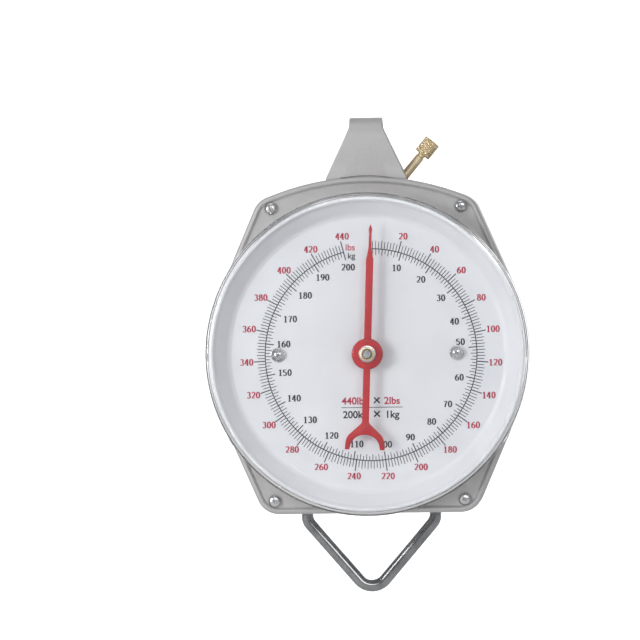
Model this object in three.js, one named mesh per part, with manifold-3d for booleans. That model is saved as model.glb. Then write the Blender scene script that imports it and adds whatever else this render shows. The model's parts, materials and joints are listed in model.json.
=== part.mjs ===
// A hanging dial scale for 200 kg: two pressed steel shells, a folded hanger strap, two extension springs,
// a load yoke with a wire bail, and a rack and pinion that turn the pointer over a round dial.
// Millimetres, +Z up, the dial faces -Y. The shapes are laid out about the dial's centre, and the whole
// group is then shifted so that the origin is the top of the hanger strap's eye.
import * as THREE from "three";
import { mergeVertices } from "three/addons/utils/BufferGeometryUtils.js";
import Module from "manifold-3d";

const wasm = await Module();
wasm.setup();

// ---- Driving dimensions ----
const GAP = 0.3; // clearance between pieces that touch on the real object
const SHEET = 1.2; // steel of the case and of the dial pan
const STRAP_SHEET = 2.5; // steel of the hanger strap and of the two channels

const CASE_RADIUS = 84.7; // the case's round sides
const CASE_SIDE_DEG = 23.5; // slope of the straight sides from vertical
const CASE_TOP = 93.2;
const CASE_TOP_RADIUS = 138; // the shallow arc along the top
const CASE_BOTTOM = -84;
const CASE_CORNER = 12;
const CASE_DEPTH = 36;
const FACE_Y = 1.5; // the flat face lies this far behind the crest of the rim
const FACE_OPENING = 66; // radius of the hole behind the dial
const SHELL_SPLIT = 34.5; // where the front shell's wall ends
const REAR_WALL_FRONT = 27; // front edge of the rear shell's inner wall
const CASE_SCREW = { x: 50, z: 77, headRadius: 2.75, headHeight: 2.2, shankRadius: 1.6, end: 30 };
const SHELL_POST_RADIUS = 3.6; // the tubes in the rear shell that take the case screws

// Radii of the clearance holes for screws of 1.0, 1.6 and 1.7 mm radius
const SMALL_HOLE = 1.3;
const PLAIN_HOLE = 1.9;
const WIDE_HOLE = 2.1;

const LOAD_Y = 19; // the plane of springs, hanger and bail, behind the crest of the rim
const LEG_INNER = 8.3; // half the inside width between the hanger strap's legs
const STRAP_TOP = 124.5;
const STRAP_BOTTOM = 52;
const STRAP_NECK = { half: 8.7, z: 119 };
const STRAP_WIDE = { half: 21.3, z: 92.5 };

const CHANNEL_INNER = 5.5; // half the inside width of both channels
const ANCHOR = { half: 40, bottom: 50.3, top: 68 };
const YOKE = { half: 42, bottom: -57.5, top: -34 };
const RIVET = { x: 14, z: 58, radius: 3, headRadius: 5.5, headHeight: 2.8 };

const SPRING_X = 29;
const SPRING_RADIUS = 11; // mean radius of the coil
const SPRING_WIRE = 2.5; // radius of the wire
const SPRING_TURNS = 14;
const COIL = { bottom: -31, top: 47 };
const PIN_UPPER_Z = 56;
const PIN_LOWER_Z = -40;
const PIN_RADIUS = 2.2;
const PIN_HEAD = { radius: 3.6, height: 1.1 };
const HOOK_RADIUS = PIN_RADIUS + SPRING_WIRE + 1.4; // the hook hangs loosely on its pin

const BAIL = { wire: 3.2, legX: 34, legTop: -49, cornerZ: -87.4, tipZ: -127, cornerRadius: 9 };

const BAIL_NUT = { acrossFlats: 10, height: 4.7 };

const MODULE = 0.8; // gear module
const PINION_TEETH = 10;
const PRESSURE_DEG = 25;
const ADDENDUM = 0.8 * MODULE;
const DEDENDUM = MODULE;
const BACKLASH = 0.25;
const PINION_RADIUS = (MODULE * PINION_TEETH) / 2;
const RACK = { front: 6.7, back: 10.7, backX: 8.5, bottom: -57, top: 31, padLeft: -1 };
const RACK_SCREW = {
  x: 3.5,
  lowerZ: -51,
  upperZ: -39,
  headRadius: 2.9,
  headHeight: 2,
  shankRadius: 1.6,
  end: 14.5,
};

const FRAME = { front: 3, back: 4.5, half: 57.5, height: 18, footX: 68, holeX: 62 };
const FRAME_SCREW = { headRadius: 3, sinkRadius: 3.6, shankRadius: 1.6, front: 31 }; // sunk in the back
const BRIDGE = { left: -11.5, right: 14, front: 4.8, back: 15.5, height: 16, sheet: 1.5 };
const BRIDGE_FOOT_X = -5.9; // inner edge of the foot that is screwed to the frame
const BRIDGE_SCREW = { x: -8, z: 5, radius: 1, seat: BRIDGE.front + BRIDGE.sheet + GAP };
const FRONT_BUSH = { tube: 4.2, flange: 5.5, front: 1.9, tubeFront: 2.7, back: 5.6 };
const REAR_BUSH = { tube: 3.3, flange: 4.2, front: 12.9, tubeFront: 13.7, back: 16.2 };
const GUIDE = { collar: 3.2, post: 2.4, tip: 1.2 };
const GUIDE_X = RACK.backX + GAP + GUIDE.post;

const SHAFT_RADIUS = 2;
const BORE_RADIUS = SHAFT_RADIUS + GAP;
const SHAFT = { front: -13.2, shoulderFront: -6.9, shoulderBack: 0.9, back: 17.2, shoulderRadius: 3.2 };

const DIAL_Y = -1.7; // the dial's printed face
const DIAL_RADIUS = 71.5; // the flat part of the dial pan
const PAN = { rimInner: 82, rimOuter: 83, rimY: -11.5, centreHole: 6 };
const DIAL_SCREW = { x: 47, headRadius: 2.5, headHeight: 2, shankRadius: 1.3 };
const DIAL_WASHER = { inner: 1.7, outer: 3.65, sheet: 0.7 };
const DIAL_POST = { inner: 1.6, neck: 2, collar: 4 };
const COVER = { radius: 85, front: -16, back: -1, wall: 1.4, disc: 1.5 };
const LUG_DEG = 122; // the cover's two snap lugs, measured from the top

const POINTER_Y = -8.2; // middle of the blade
const POINTER_SHEET = 1;
const POINTER_REST_DEG = 2.3;
const HUB_RADIUS = 7.75;
const POINTER_WASHER = { radius: 4.4, sheet: 0.6 };
const POINTER_NUT = { acrossFlats: 7, height: 2.2 };

// The zero screw, with distances along its own axis from where it enters the case
const ZERO = {
  x: 18.2,
  z: CASE_TOP - 1.9,
  tiltDeg: 40,
  stem: 2.35,
  head: 4.55,
  headStart: 17.2,
  headEnd: 26.5,
  innerEnd: -22,
  bush: 4.4,
};

const HEX = Math.sqrt(3) / 2; // a hexagon's half width across flats for a corner radius of 1
const DEG = Math.PI / 180;

// ---- Finishes ----
const finishes = {
  paint: { color: 0xa8a6a5, roughness: 0.45, metalness: 0.4 },
  zinc: { color: 0xc4c6c8, roughness: 0.3, metalness: 1 },
  springSteel: { color: 0x6f7174, roughness: 0.4, metalness: 1 },
  brass: { color: 0xc29a55, roughness: 0.32, metalness: 1 },
  dialWhite: { color: 0xe9e9ee, roughness: 0.5, metalness: 0 },
  pointerRed: { color: 0xc8262c, roughness: 0.4, metalness: 0 },
  clear: { color: 0xf4f6f8, roughness: 0.05, metalness: 0, transparent: true, opacity: 0.3 },
};

// ---- Solids ----
function closedForm(geometry) {
  geometry.deleteAttribute("normal");
  geometry.deleteAttribute("uv");
  return mergeVertices(geometry, 1e-4);
}

function toSolid(geometry) {
  const merged = closedForm(geometry.clone());
  return new wasm.Manifold(
    new wasm.Mesh({
      numProp: 3,
      vertProperties: merged.attributes.position.array,
      triVerts: new Uint32Array(merged.index.array),
    }),
  );
}

function toGeometry(solid) {
  const mesh = solid.getMesh();
  const geometry = new THREE.BufferGeometry();
  geometry.setAttribute("position", new THREE.BufferAttribute(mesh.vertProperties, 3));
  geometry.setIndex(new THREE.BufferAttribute(mesh.triVerts, 1));
  return geometry;
}

function join(first, ...others) {
  return toGeometry(others.reduce((whole, piece) => whole.add(toSolid(piece)), toSolid(first)));
}

function cut(body, ...tools) {
  return toGeometry(tools.reduce((left, tool) => left.subtract(toSolid(tool)), toSolid(body)));
}

function common(first, second) {
  return toGeometry(toSolid(first).intersect(toSolid(second)));
}

function signedVolume(geometry) {
  const { position } = geometry.attributes;
  const corner = [new THREE.Vector3(), new THREE.Vector3(), new THREE.Vector3()];
  let sum = 0;
  for (let i = 0; i < geometry.index.count; i += 3) {
    corner.forEach((point, k) => point.fromBufferAttribute(position, geometry.index.getX(i + k)));
    sum += corner[0].dot(corner[1].clone().cross(corner[2]));
  }
  return sum / 6;
}

// Turns a closed geometry's faces outwards, whichever way its profile ran.
function facingOut(geometry) {
  const closed = closedForm(geometry);
  if (signedVolume(closed) < 0) {
    closed.index.array.reverse();
  }
  return closed;
}

// A body turned about the Y axis, from [radius, y] points.
function turned(profile, sides = 24) {
  const points = profile.map(([radius, y]) => new THREE.Vector2(radius, y));
  return facingOut(new THREE.LatheGeometry(points, sides));
}

function ring(inner, outer, front, back, sides = 24) {
  const corners = [
    [inner, front],
    [outer, front],
    [outer, back],
    [inner, back],
  ];
  return turned([...corners, corners[0]], sides);
}

function rod(radius, front, back, sides = 24) {
  return turned(
    [
      [0, front],
      [radius, front],
      [radius, back],
      [0, back],
    ],
    sides,
  );
}

// A plate in the XZ plane between two depths.
function plate(shape, front, back) {
  const made = new THREE.ExtrudeGeometry(shape, { depth: back - front, bevelEnabled: false });
  return facingOut(made.rotateX(Math.PI / 2).translate(0, back, 0));
}

// A bar whose section lies in the XY plane, between two heights.
function upright(section, bottom, top) {
  const made = new THREE.ExtrudeGeometry(section, { depth: top - bottom, bevelEnabled: false });
  return facingOut(made.translate(0, 0, bottom));
}

// A bar whose section is given as [y, z] points, running along X.
function rail(section, half) {
  const made = new THREE.ExtrudeGeometry(section, { depth: 2 * half, bevelEnabled: false });
  made.rotateX(Math.PI / 2).rotateZ(Math.PI / 2);
  return facingOut(made.translate(-half, 0, 0));
}

function polygon(points) {
  return new THREE.Shape(points.map(([a, b]) => new THREE.Vector2(a, b)));
}

function block(low, high) {
  const made = new THREE.BoxGeometry(high[0] - low[0], high[1] - low[1], high[2] - low[2]);
  return made.translate((low[0] + high[0]) / 2, (low[1] + high[1]) / 2, (low[2] + high[2]) / 2);
}

function circle(radius, sides) {
  const points = [];
  for (let i = 0; i < sides; i++) {
    const angle = (i / sides) * 2 * Math.PI;
    points.push([radius * Math.cos(angle), radius * Math.sin(angle)]);
  }
  return polygon(points);
}

function wireAlong(curve, radius, sides, steps) {
  return facingOut(new THREE.ExtrudeGeometry(circle(radius, sides), { steps, extrudePath: curve }));
}

// A body through outlines of equal point count, each at its own depth.
function loft(layers) {
  const count = layers[0].outline.length;
  const positions = layers.flatMap(({ outline, y }) => outline.flatMap((point) => [point.x, y, point.y]));
  const faces = [];
  for (let layer = 0; layer + 1 < layers.length; layer++) {
    for (let i = 0; i < count; i++) {
      const a = layer * count + i;
      const b = layer * count + ((i + 1) % count);
      faces.push(a, b, b + count, a, b + count, a + count);
    }
  }
  const last = (layers.length - 1) * count;
  for (const [a, b, c] of THREE.ShapeUtils.triangulateShape(layers[0].outline, [])) {
    faces.push(a, c, b, last + a, last + b, last + c);
  }
  const geometry = new THREE.BufferGeometry();
  geometry.setAttribute("position", new THREE.Float32BufferAttribute(positions, 3));
  geometry.setIndex(faces);
  if (signedVolume(geometry) < 0) {
    geometry.index.array.reverse();
  }
  return geometry;
}

// ---- Group and nodes ----
const scale = new THREE.Group();
scale.name = "hanging_scale";

function add(name, geometry, finish, x = 0, z = 0) {
  const mesh = new THREE.Mesh(geometry, new THREE.MeshStandardMaterial(finishes[finish]));
  mesh.name = name;
  mesh.position.set(x, 0, z);
  scale.add(mesh);
  return mesh;
}

const SIDES = [
  ["left", -1],
  ["right", 1],
];

// ---- Case ----
// Points of a rounded corner, from the tangent point on one side to the tangent point on the other.
function roundedCorner(corner, towardsStart, towardsEnd, radius) {
  const between = towardsStart.angleTo(towardsEnd);
  const reach = radius / Math.tan(between / 2);
  const start = corner.clone().addScaledVector(towardsStart, reach);
  const end = corner.clone().addScaledVector(towardsEnd, reach);
  return new THREE.QuadraticBezierCurve(start, corner, end).getPoints(3);
}

// The case's outline drawn inwards by inset, counter-clockwise as seen from the front.
function caseOutline(inset) {
  const side = CASE_SIDE_DEG * DEG;
  const radius = CASE_RADIUS - inset;
  const topRadius = CASE_TOP_RADIUS - inset;
  const topCentre = CASE_TOP - CASE_TOP_RADIUS;
  const bottom = CASE_BOTTOM + inset;
  const tangent = new THREE.Vector2(radius * Math.cos(side), radius * Math.sin(side));
  const upwards = new THREE.Vector2(-Math.sin(side), Math.cos(side));
  const fromCentre = tangent.clone().sub(new THREE.Vector2(0, topCentre));
  const half = fromCentre.dot(upwards);
  const reach = -half + Math.sqrt(half * half - fromCentre.lengthSq() + topRadius * topRadius);
  const upper = tangent.clone().addScaledVector(upwards, reach);
  const alongTop = new THREE.Vector2(topCentre - upper.y, upper.x).normalize();
  const upperCorner = roundedCorner(upper, alongTop, upwards.clone().negate(), CASE_CORNER - inset);

  const right = [];
  const arcEnd = Math.asin(upperCorner[0].x / topRadius);
  const topSteps = 4;
  for (let i = 0; i < topSteps; i++) {
    const angle = (arcEnd * i) / topSteps;
    right.push(new THREE.Vector2(topRadius * Math.sin(angle), topCentre + topRadius * Math.cos(angle)));
  }
  right.push(...upperCorner);
  const sideSteps = 6;
  for (let i = 0; i <= sideSteps; i++) {
    const angle = side - (2 * side * i) / sideSteps;
    right.push(new THREE.Vector2(radius * Math.cos(angle), radius * Math.sin(angle)));
  }
  const outwards = new THREE.Vector2(Math.sin(side), Math.cos(side));
  const fall = (-tangent.y - bottom) / Math.cos(side);
  const lower = new THREE.Vector2(tangent.x, -tangent.y).addScaledVector(outwards, -fall);
  right.push(...roundedCorner(lower, outwards, new THREE.Vector2(-1, 0), CASE_CORNER - inset));

  const left = right.slice(1).reverse();
  return [...right, ...left.map((point) => new THREE.Vector2(-point.x, point.y))].reverse();
}

function caseLayers(steps) {
  return loft(steps.map(([inset, y]) => ({ outline: caseOutline(inset), y })));
}

// The same piece once on each side of the middle plane.
function onBothSides(geometry, x, z = 0) {
  return SIDES.map(([, way]) => geometry.clone().translate(way * x, 0, z));
}

const LEVELS = [
  ["upper", 1],
  ["lower", -1],
];

function caseScrewPlaces() {
  const { x, z } = CASE_SCREW;
  return LEVELS.flatMap(([level, up]) => SIDES.map(([hand, way]) => [level + "_" + hand, way * x, up * z]));
}

function atCaseScrews(geometry) {
  return caseScrewPlaces().map(([, x, z]) => geometry.clone().translate(x, 0, z));
}

function strapSlots() {
  const half = STRAP_WIDE.half + 2 * GAP;
  const inner = LEG_INNER - GAP;
  const outer = LEG_INNER + STRAP_SHEET + GAP;
  return [
    block([-half, LOAD_Y - outer, 80], [half, LOAD_Y - inner, 100]),
    block([-half, LOAD_Y + inner, 80], [half, LOAD_Y + outer, 100]),
  ];
}

// The zero screw's axis: +Z of a piece made upright becomes the screw's outward direction.
function alongZeroAxis(geometry) {
  return geometry.rotateY(ZERO.tiltDeg * DEG).translate(ZERO.x, LOAD_Y, ZERO.z);
}

// A body turned about the zero screw's axis, from [radius, distance] points.
function turnedOnZeroAxis(profile, sides) {
  return alongZeroAxis(turned(profile, sides).rotateX(Math.PI / 2));
}

function zeroRod(radius, from, to) {
  return alongZeroAxis(rod(radius, from, to, 12).rotateX(Math.PI / 2));
}

function frontShell() {
  const outside = caseLayers([
    [3.4, FACE_Y],
    [2.2, 0],
    [1.0, 0.3],
    [0, 2.4],
    [0, SHELL_SPLIT],
  ]);
  const inside = caseLayers([
    [SHEET + 2, FACE_Y + SHEET],
    [SHEET, 4.2],
    [SHEET, CASE_DEPTH],
  ]);
  const screwHoles = atCaseScrews(rod(PLAIN_HOLE, -1, 5, 8));
  const bailHole = upright(circle(BAIL.wire + 4 * GAP, 12), CASE_BOTTOM - 2, CASE_BOTTOM + 4);
  const bailHoles = onBothSides(bailHole.translate(0, LOAD_Y, 0), BAIL.legX);
  const dialOpening = rod(FACE_OPENING, -1, 5, 36);
  const zeroHole = zeroRod(ZERO.bush + 0.4, -8, 8);
  return cut(outside, inside, dialOpening, ...screwHoles, ...bailHoles, ...strapSlots(), zeroHole);
}

function rearShell() {
  const backPlate = caseLayers([
    [0.6, SHELL_SPLIT + GAP],
    [0.6, SHELL_SPLIT + 0.8],
    [1.3, CASE_DEPTH],
  ]);
  const wallOutside = caseLayers([
    [SHEET + GAP, REAR_WALL_FRONT],
    [SHEET + GAP, CASE_DEPTH - 0.6],
  ]);
  const wallInside = caseLayers([
    [2 * SHEET + GAP, REAR_WALL_FRONT - 1],
    [2 * SHEET + GAP, CASE_DEPTH - SHEET],
  ]);
  const posts = atCaseScrews(rod(SHELL_POST_RADIUS, FACE_Y + SHEET + 0.4, CASE_DEPTH - 0.5, 8));
  const bores = atCaseScrews(rod(WIDE_HOLE, 2, CASE_DEPTH - 3, 8));
  const sunkHole = turned(
    [
      [0, SHELL_SPLIT - 1],
      [WIDE_HOLE, SHELL_SPLIT - 1],
      [WIDE_HOLE + 0.2, SHELL_SPLIT + GAP],
      [FRAME_SCREW.sinkRadius, CASE_DEPTH],
      [FRAME_SCREW.sinkRadius, CASE_DEPTH + 1],
      [0, CASE_DEPTH + 1],
    ],
    12,
  );
  const screwHoles = onBothSides(sunkHole, FRAME.holeX);
  const whole = join(backPlate, cut(wallOutside, wallInside), ...posts);
  return cut(whole, ...bores, ...screwHoles, ...strapSlots());
}

function addCase() {
  add("front_shell", frontShell(), "paint");
  add("rear_shell", rearShell(), "paint");
  const screw = panScrew(CASE_SCREW, FACE_Y - GAP, CASE_SCREW.end);
  caseScrewPlaces().forEach(([place, x, z]) => add("case_screw_" + place, screw.clone(), "zinc", x, z));
}

// ---- Hanger and springs ----
function foldedStrap() {
  const outer = LEG_INNER + STRAP_SHEET;
  const bendZ = STRAP_TOP - outer;
  const section = new THREE.Shape();
  section.moveTo(LOAD_Y - outer, STRAP_BOTTOM);
  section.absarc(LOAD_Y, bendZ, outer, Math.PI, 0, true);
  section.lineTo(LOAD_Y + outer, STRAP_BOTTOM);
  section.lineTo(LOAD_Y + LEG_INNER, STRAP_BOTTOM);
  section.absarc(LOAD_Y, bendZ, LEG_INNER, 0, Math.PI, false);
  section.lineTo(LOAD_Y - LEG_INNER, STRAP_BOTTOM);
  const made = new THREE.ExtrudeGeometry(section, {
    depth: 2 * STRAP_WIDE.half,
    bevelEnabled: false,
    curveSegments: 10,
  });
  const folded = facingOut(
    made.rotateX(Math.PI / 2).rotateZ(Math.PI / 2).translate(-STRAP_WIDE.half, 0, 0),
  );
  const front = polygon([
    [-STRAP_WIDE.half, STRAP_BOTTOM - 1],
    [STRAP_WIDE.half, STRAP_BOTTOM - 1],
    [STRAP_WIDE.half, STRAP_WIDE.z],
    [STRAP_NECK.half, STRAP_NECK.z],
    [STRAP_NECK.half, STRAP_TOP + 1],
    [-STRAP_NECK.half, STRAP_TOP + 1],
    [-STRAP_NECK.half, STRAP_NECK.z],
    [-STRAP_WIDE.half, STRAP_WIDE.z],
  ]);
  return cut(common(folded, plate(front, 0, CASE_DEPTH)), ...rivetHoles());
}

function rivetHoles() {
  return onBothSides(rod(RIVET.radius + GAP, 0, CASE_DEPTH, 10), RIVET.x, RIVET.z);
}

function springPinHoles(z) {
  return onBothSides(rod(PIN_RADIUS + GAP, 0, CASE_DEPTH, 8), SPRING_X, z);
}

// A channel along X whose web is at the bottom, or at the top when inverted.
function channel({ half, bottom, top }, inverted) {
  const inner = CHANNEL_INNER;
  const outer = CHANNEL_INNER + STRAP_SHEET;
  const web = inverted ? top : bottom;
  const webInside = inverted ? top - STRAP_SHEET : bottom + STRAP_SHEET;
  const open = inverted ? bottom : top;
  const section = polygon([
    [LOAD_Y - outer, web],
    [LOAD_Y + outer, web],
    [LOAD_Y + outer, open],
    [LOAD_Y + inner, open],
    [LOAD_Y + inner, webInside],
    [LOAD_Y - inner, webInside],
    [LOAD_Y - inner, open],
    [LOAD_Y - outer, open],
  ]);
  return rail(section, half);
}

// A rod along Y through the load plane, with a head at each end.
function headedPin(radius, grip, headRadius, headHeight, sides) {
  return turned(
    [
      [0, LOAD_Y - grip - headHeight],
      [headRadius, LOAD_Y - grip - 0.5 * headHeight],
      [headRadius, LOAD_Y - grip],
      [radius, LOAD_Y - grip],
      [radius, LOAD_Y + grip],
      [headRadius, LOAD_Y + grip],
      [headRadius, LOAD_Y + grip + 0.5 * headHeight],
      [0, LOAD_Y + grip + headHeight],
    ],
    sides,
  );
}

// Points of a hook round the pin at height z, which opens upwards when way is 1.
function springHook(z, way) {
  return [50, 5, -40, -90, -140, -180].map((angle) => {
    const x = HOOK_RADIUS * Math.cos(angle * DEG);
    return new THREE.Vector3(x, LOAD_Y, z + way * HOOK_RADIUS * Math.sin(angle * DEG));
  });
}

// One extension spring about the Z axis of the load plane, with a hook round each pin.
function spring() {
  const stepsPerTurn = 8;
  const steps = SPRING_TURNS * stepsPerTurn;
  const lead = 0.8 * SPRING_RADIUS; // where the wire runs from the coil into a hook
  const coil = [];
  for (let i = 0; i <= steps; i++) {
    const angle = Math.PI + (2 * Math.PI * i) / stepsPerTurn;
    const x = SPRING_RADIUS * Math.cos(angle);
    const y = LOAD_Y + SPRING_RADIUS * Math.sin(angle);
    coil.push(new THREE.Vector3(x, y, COIL.bottom + ((COIL.top - COIL.bottom) * i) / steps));
  }
  const points = [
    ...springHook(PIN_LOWER_Z, 1),
    new THREE.Vector3(-lead, LOAD_Y - 1, COIL.bottom - 3),
    ...coil,
    new THREE.Vector3(-lead, LOAD_Y + 1, COIL.top + 3),
    ...springHook(PIN_UPPER_Z, -1).reverse(),
  ];
  return wireAlong(new THREE.CatmullRomCurve3(points, false, "centripetal"), SPRING_WIRE, 5, 140);
}

function addHanger() {
  const outer = CHANNEL_INNER + STRAP_SHEET;
  add("hanger_strap", foldedStrap(), "paint");
  add("spring_anchor", cut(channel(ANCHOR, true), ...rivetHoles(), ...springPinHoles(PIN_UPPER_Z)), "zinc");
  const legOuter = LEG_INNER + STRAP_SHEET;
  const rivet = headedPin(RIVET.radius, legOuter + GAP, RIVET.headRadius, RIVET.headHeight, 10);
  const pin = headedPin(PIN_RADIUS, outer + GAP, PIN_HEAD.radius, PIN_HEAD.height, 8);
  for (const [hand, way] of SIDES) {
    add("hanger_rivet_" + hand, rivet.clone(), "zinc", way * RIVET.x, RIVET.z);
    add("spring_pin_upper_" + hand, pin.clone(), "zinc", way * SPRING_X, PIN_UPPER_Z);
    add("spring_pin_lower_" + hand, pin.clone(), "zinc", way * SPRING_X, PIN_LOWER_Z);
    add("spring_" + hand, spring(), "springSteel", way * SPRING_X);
  }
}

// ---- Load yoke, bail and rack ----
function bailCurve() {
  const { legX, legTop, cornerZ, tipZ, cornerRadius } = BAIL;
  const corners = [
    [-legX, legTop],
    [-legX, cornerZ],
    [0, tipZ],
    [legX, cornerZ],
    [legX, legTop],
  ].map(([x, z]) => new THREE.Vector3(x, LOAD_Y, z));
  const path = new THREE.CurvePath();
  let from = corners[0];
  for (let i = 1; i < corners.length - 1; i++) {
    const back = corners[i - 1].clone().sub(corners[i]).normalize();
    const ahead = corners[i + 1].clone().sub(corners[i]).normalize();
    const reach = cornerRadius / Math.tan(back.angleTo(ahead) / 2);
    const start = corners[i].clone().addScaledVector(back, reach);
    const end = corners[i].clone().addScaledVector(ahead, reach);
    path.add(new THREE.LineCurve3(from, start));
    path.add(new THREE.QuadraticBezierCurve3(start, corners[i], end));
    from = end;
  }
  path.add(new THREE.LineCurve3(from, corners[corners.length - 1]));
  return path;
}

function hexagon(acrossFlats) {
  return circle(acrossFlats / 2 / HEX, 6);
}

// Rack teeth on the side towards the pinion, one of them centred on the pinion's own height.
function rackOutline() {
  const pitch = Math.PI * MODULE;
  const slope = Math.tan(PRESSURE_DEG * DEG);
  const halfAtPitch = (pitch - BACKLASH) / 4;
  const tipX = PINION_RADIUS - ADDENDUM;
  const rootX = PINION_RADIUS + DEDENDUM;
  const points = [
    [RACK.backX, RACK.bottom],
    [RACK.backX, RACK.top],
    [rootX, RACK.top],
  ];
  for (let tooth = 11; tooth >= -2; tooth--) {
    const z = tooth * pitch;
    points.push([rootX, z + halfAtPitch + DEDENDUM * slope]);
    points.push([tipX, z + halfAtPitch - ADDENDUM * slope]);
    points.push([tipX, z - halfAtPitch + ADDENDUM * slope]);
    points.push([rootX, z - halfAtPitch - DEDENDUM * slope]);
  }
  points.push([rootX, YOKE.top + 6], [RACK.padLeft, YOKE.top + 1], [RACK.padLeft, RACK.bottom]);
  return polygon(points);
}

// Pinion outline with a gap between teeth on the +X side, where the rack's tooth stands at rest.
function pinionOutline() {
  const baseRadius = PINION_RADIUS * Math.cos(PRESSURE_DEG * DEG);
  const involute = (radius) => {
    const angle = Math.acos(Math.min(1, baseRadius / radius));
    return Math.tan(angle) - angle;
  };
  const toothPitch = (2 * Math.PI) / PINION_TEETH;
  const halfAtPitch = toothPitch / 4 - BACKLASH / 4 / PINION_RADIUS;
  const radii = [baseRadius, PINION_RADIUS, PINION_RADIUS + ADDENDUM];
  const halfAt = (radius) => halfAtPitch + involute(PINION_RADIUS) - involute(radius);
  const rootRadius = PINION_RADIUS - DEDENDUM;
  const points = [];
  for (let tooth = 0; tooth < PINION_TEETH; tooth++) {
    const middle = (tooth + 0.5) * toothPitch;
    const put = (radius, angle) => points.push([radius * Math.cos(angle), radius * Math.sin(angle)]);
    put(rootRadius, middle - halfAt(baseRadius));
    radii.forEach((radius) => put(radius, middle - halfAt(radius)));
    [...radii].reverse().forEach((radius) => put(radius, middle + halfAt(radius)));
    put(rootRadius, middle + halfAt(baseRadius));
  }
  return polygon(points);
}

function panScrew({ headRadius, headHeight, shankRadius }, headBack, end, sides = 8) {
  return turned(
    [
      [0, headBack - headHeight],
      [0.7 * headRadius, headBack - 0.9 * headHeight],
      [headRadius, headBack],
      [shankRadius, headBack],
      [shankRadius, end],
      [0, end],
    ],
    sides,
  );
}

function addLoadCarriage() {
  const { x, lowerZ, upperZ, end } = RACK_SCREW;
  const legHole = circle(BAIL.wire + 0.5, 10);
  const yokeHole = upright(legHole, YOKE.bottom - 2, YOKE.bottom + 4).translate(0, LOAD_Y, 0);
  const legHoles = onBothSides(yokeHole, BAIL.legX);
  const rackHoles = [lowerZ, upperZ].map((z) => rod(PLAIN_HOLE, 2, 16, 8).translate(x, 0, z));
  const yoke = cut(channel(YOKE, false), ...springPinHoles(PIN_LOWER_Z), ...legHoles, ...rackHoles);
  add("load_yoke", yoke, "zinc");
  add("bail", wireAlong(bailCurve(), BAIL.wire, 10, 36), "zinc");
  const nutBottom = YOKE.bottom + STRAP_SHEET + GAP;
  const nut = cut(
    upright(hexagon(BAIL_NUT.acrossFlats), nutBottom, nutBottom + BAIL_NUT.height),
    upright(legHole, nutBottom - 1, nutBottom + BAIL_NUT.height + 1),
  ).translate(0, LOAD_Y, 0);
  for (const [hand, way] of SIDES) {
    add("bail_nut_" + hand, nut.clone(), "zinc", way * BAIL.legX);
  }
  add("rack", cut(plate(rackOutline(), RACK.front, RACK.back), ...rackHoles), "brass");
  const screw = panScrew(RACK_SCREW, RACK.front - GAP, end);
  add("rack_screw_lower", screw.clone(), "zinc", x, lowerZ);
  add("rack_screw_upper", screw.clone(), "zinc", x, upperZ);
}

// ---- Movement ----
function movementFrame() {
  const sheet = FRAME.back - FRAME.front;
  const right = [
    [FRAME.half, FRAME.front],
    [FRAME.half, SHELL_SPLIT - sheet],
    [FRAME.footX, SHELL_SPLIT - sheet],
    [FRAME.footX, SHELL_SPLIT],
    [FRAME.half - sheet, SHELL_SPLIT],
    [FRAME.half - sheet, FRAME.back],
  ];
  const left = [...right].reverse().map(([x, y]) => [-x, y]);
  const bracket = upright(polygon([...right, ...left]), -FRAME.height / 2, FRAME.height / 2);
  const through = (radius, x, z) => rod(radius, FRAME.front - 2, FRAME.back + 2, 12).translate(x, 0, z);
  const footHoles = onBothSides(rod(WIDE_HOLE, SHELL_SPLIT - 4, SHELL_SPLIT + 1, 8), FRAME.holeX);
  const postHoles = SIDES.map(([, way]) => through(DIAL_POST.neck + GAP, way * DIAL_SCREW.x, 0));
  const bridgeHoles = LEVELS.map(([, up]) => through(SMALL_HOLE, BRIDGE_SCREW.x, up * BRIDGE_SCREW.z));
  return cut(bracket, through(FRONT_BUSH.tube + GAP, 0, 0), ...footHoles, ...postHoles, ...bridgeHoles);
}

function movementBridge() {
  const { left, right, front, back, height, sheet } = BRIDGE;
  const section = polygon([
    [left, front],
    [BRIDGE_FOOT_X, front],
    [BRIDGE_FOOT_X, front + sheet],
    [left + sheet, front + sheet],
    [left + sheet, back - sheet],
    [right, back - sheet],
    [right, back],
    [left, back],
  ]);
  const screwHole = rod(SMALL_HOLE, front - 2, front + sheet + 2, 12);
  const screwHoles = LEVELS.map(([, up]) =>
    screwHole.clone().translate(BRIDGE_SCREW.x, 0, up * BRIDGE_SCREW.z),
  );
  const bushHole = rod(REAR_BUSH.tube + 0.4, back - 4, back + 2, 12);
  const guideHole = rod(GUIDE.tip + GAP, back - 4, back + 2, 12).translate(GUIDE_X, 0, 0);
  return cut(upright(section, -height / 2, height / 2), bushHole, guideHole, ...screwHoles);
}

function flangedBush({ tube, flange, front, tubeFront, back }) {
  const corners = [
    [BORE_RADIUS, front],
    [flange, front],
    [flange, tubeFront],
    [tube, tubeFront],
    [tube, back],
    [BORE_RADIUS, back],
  ];
  return turned([...corners, corners[0]], 12);
}

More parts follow.
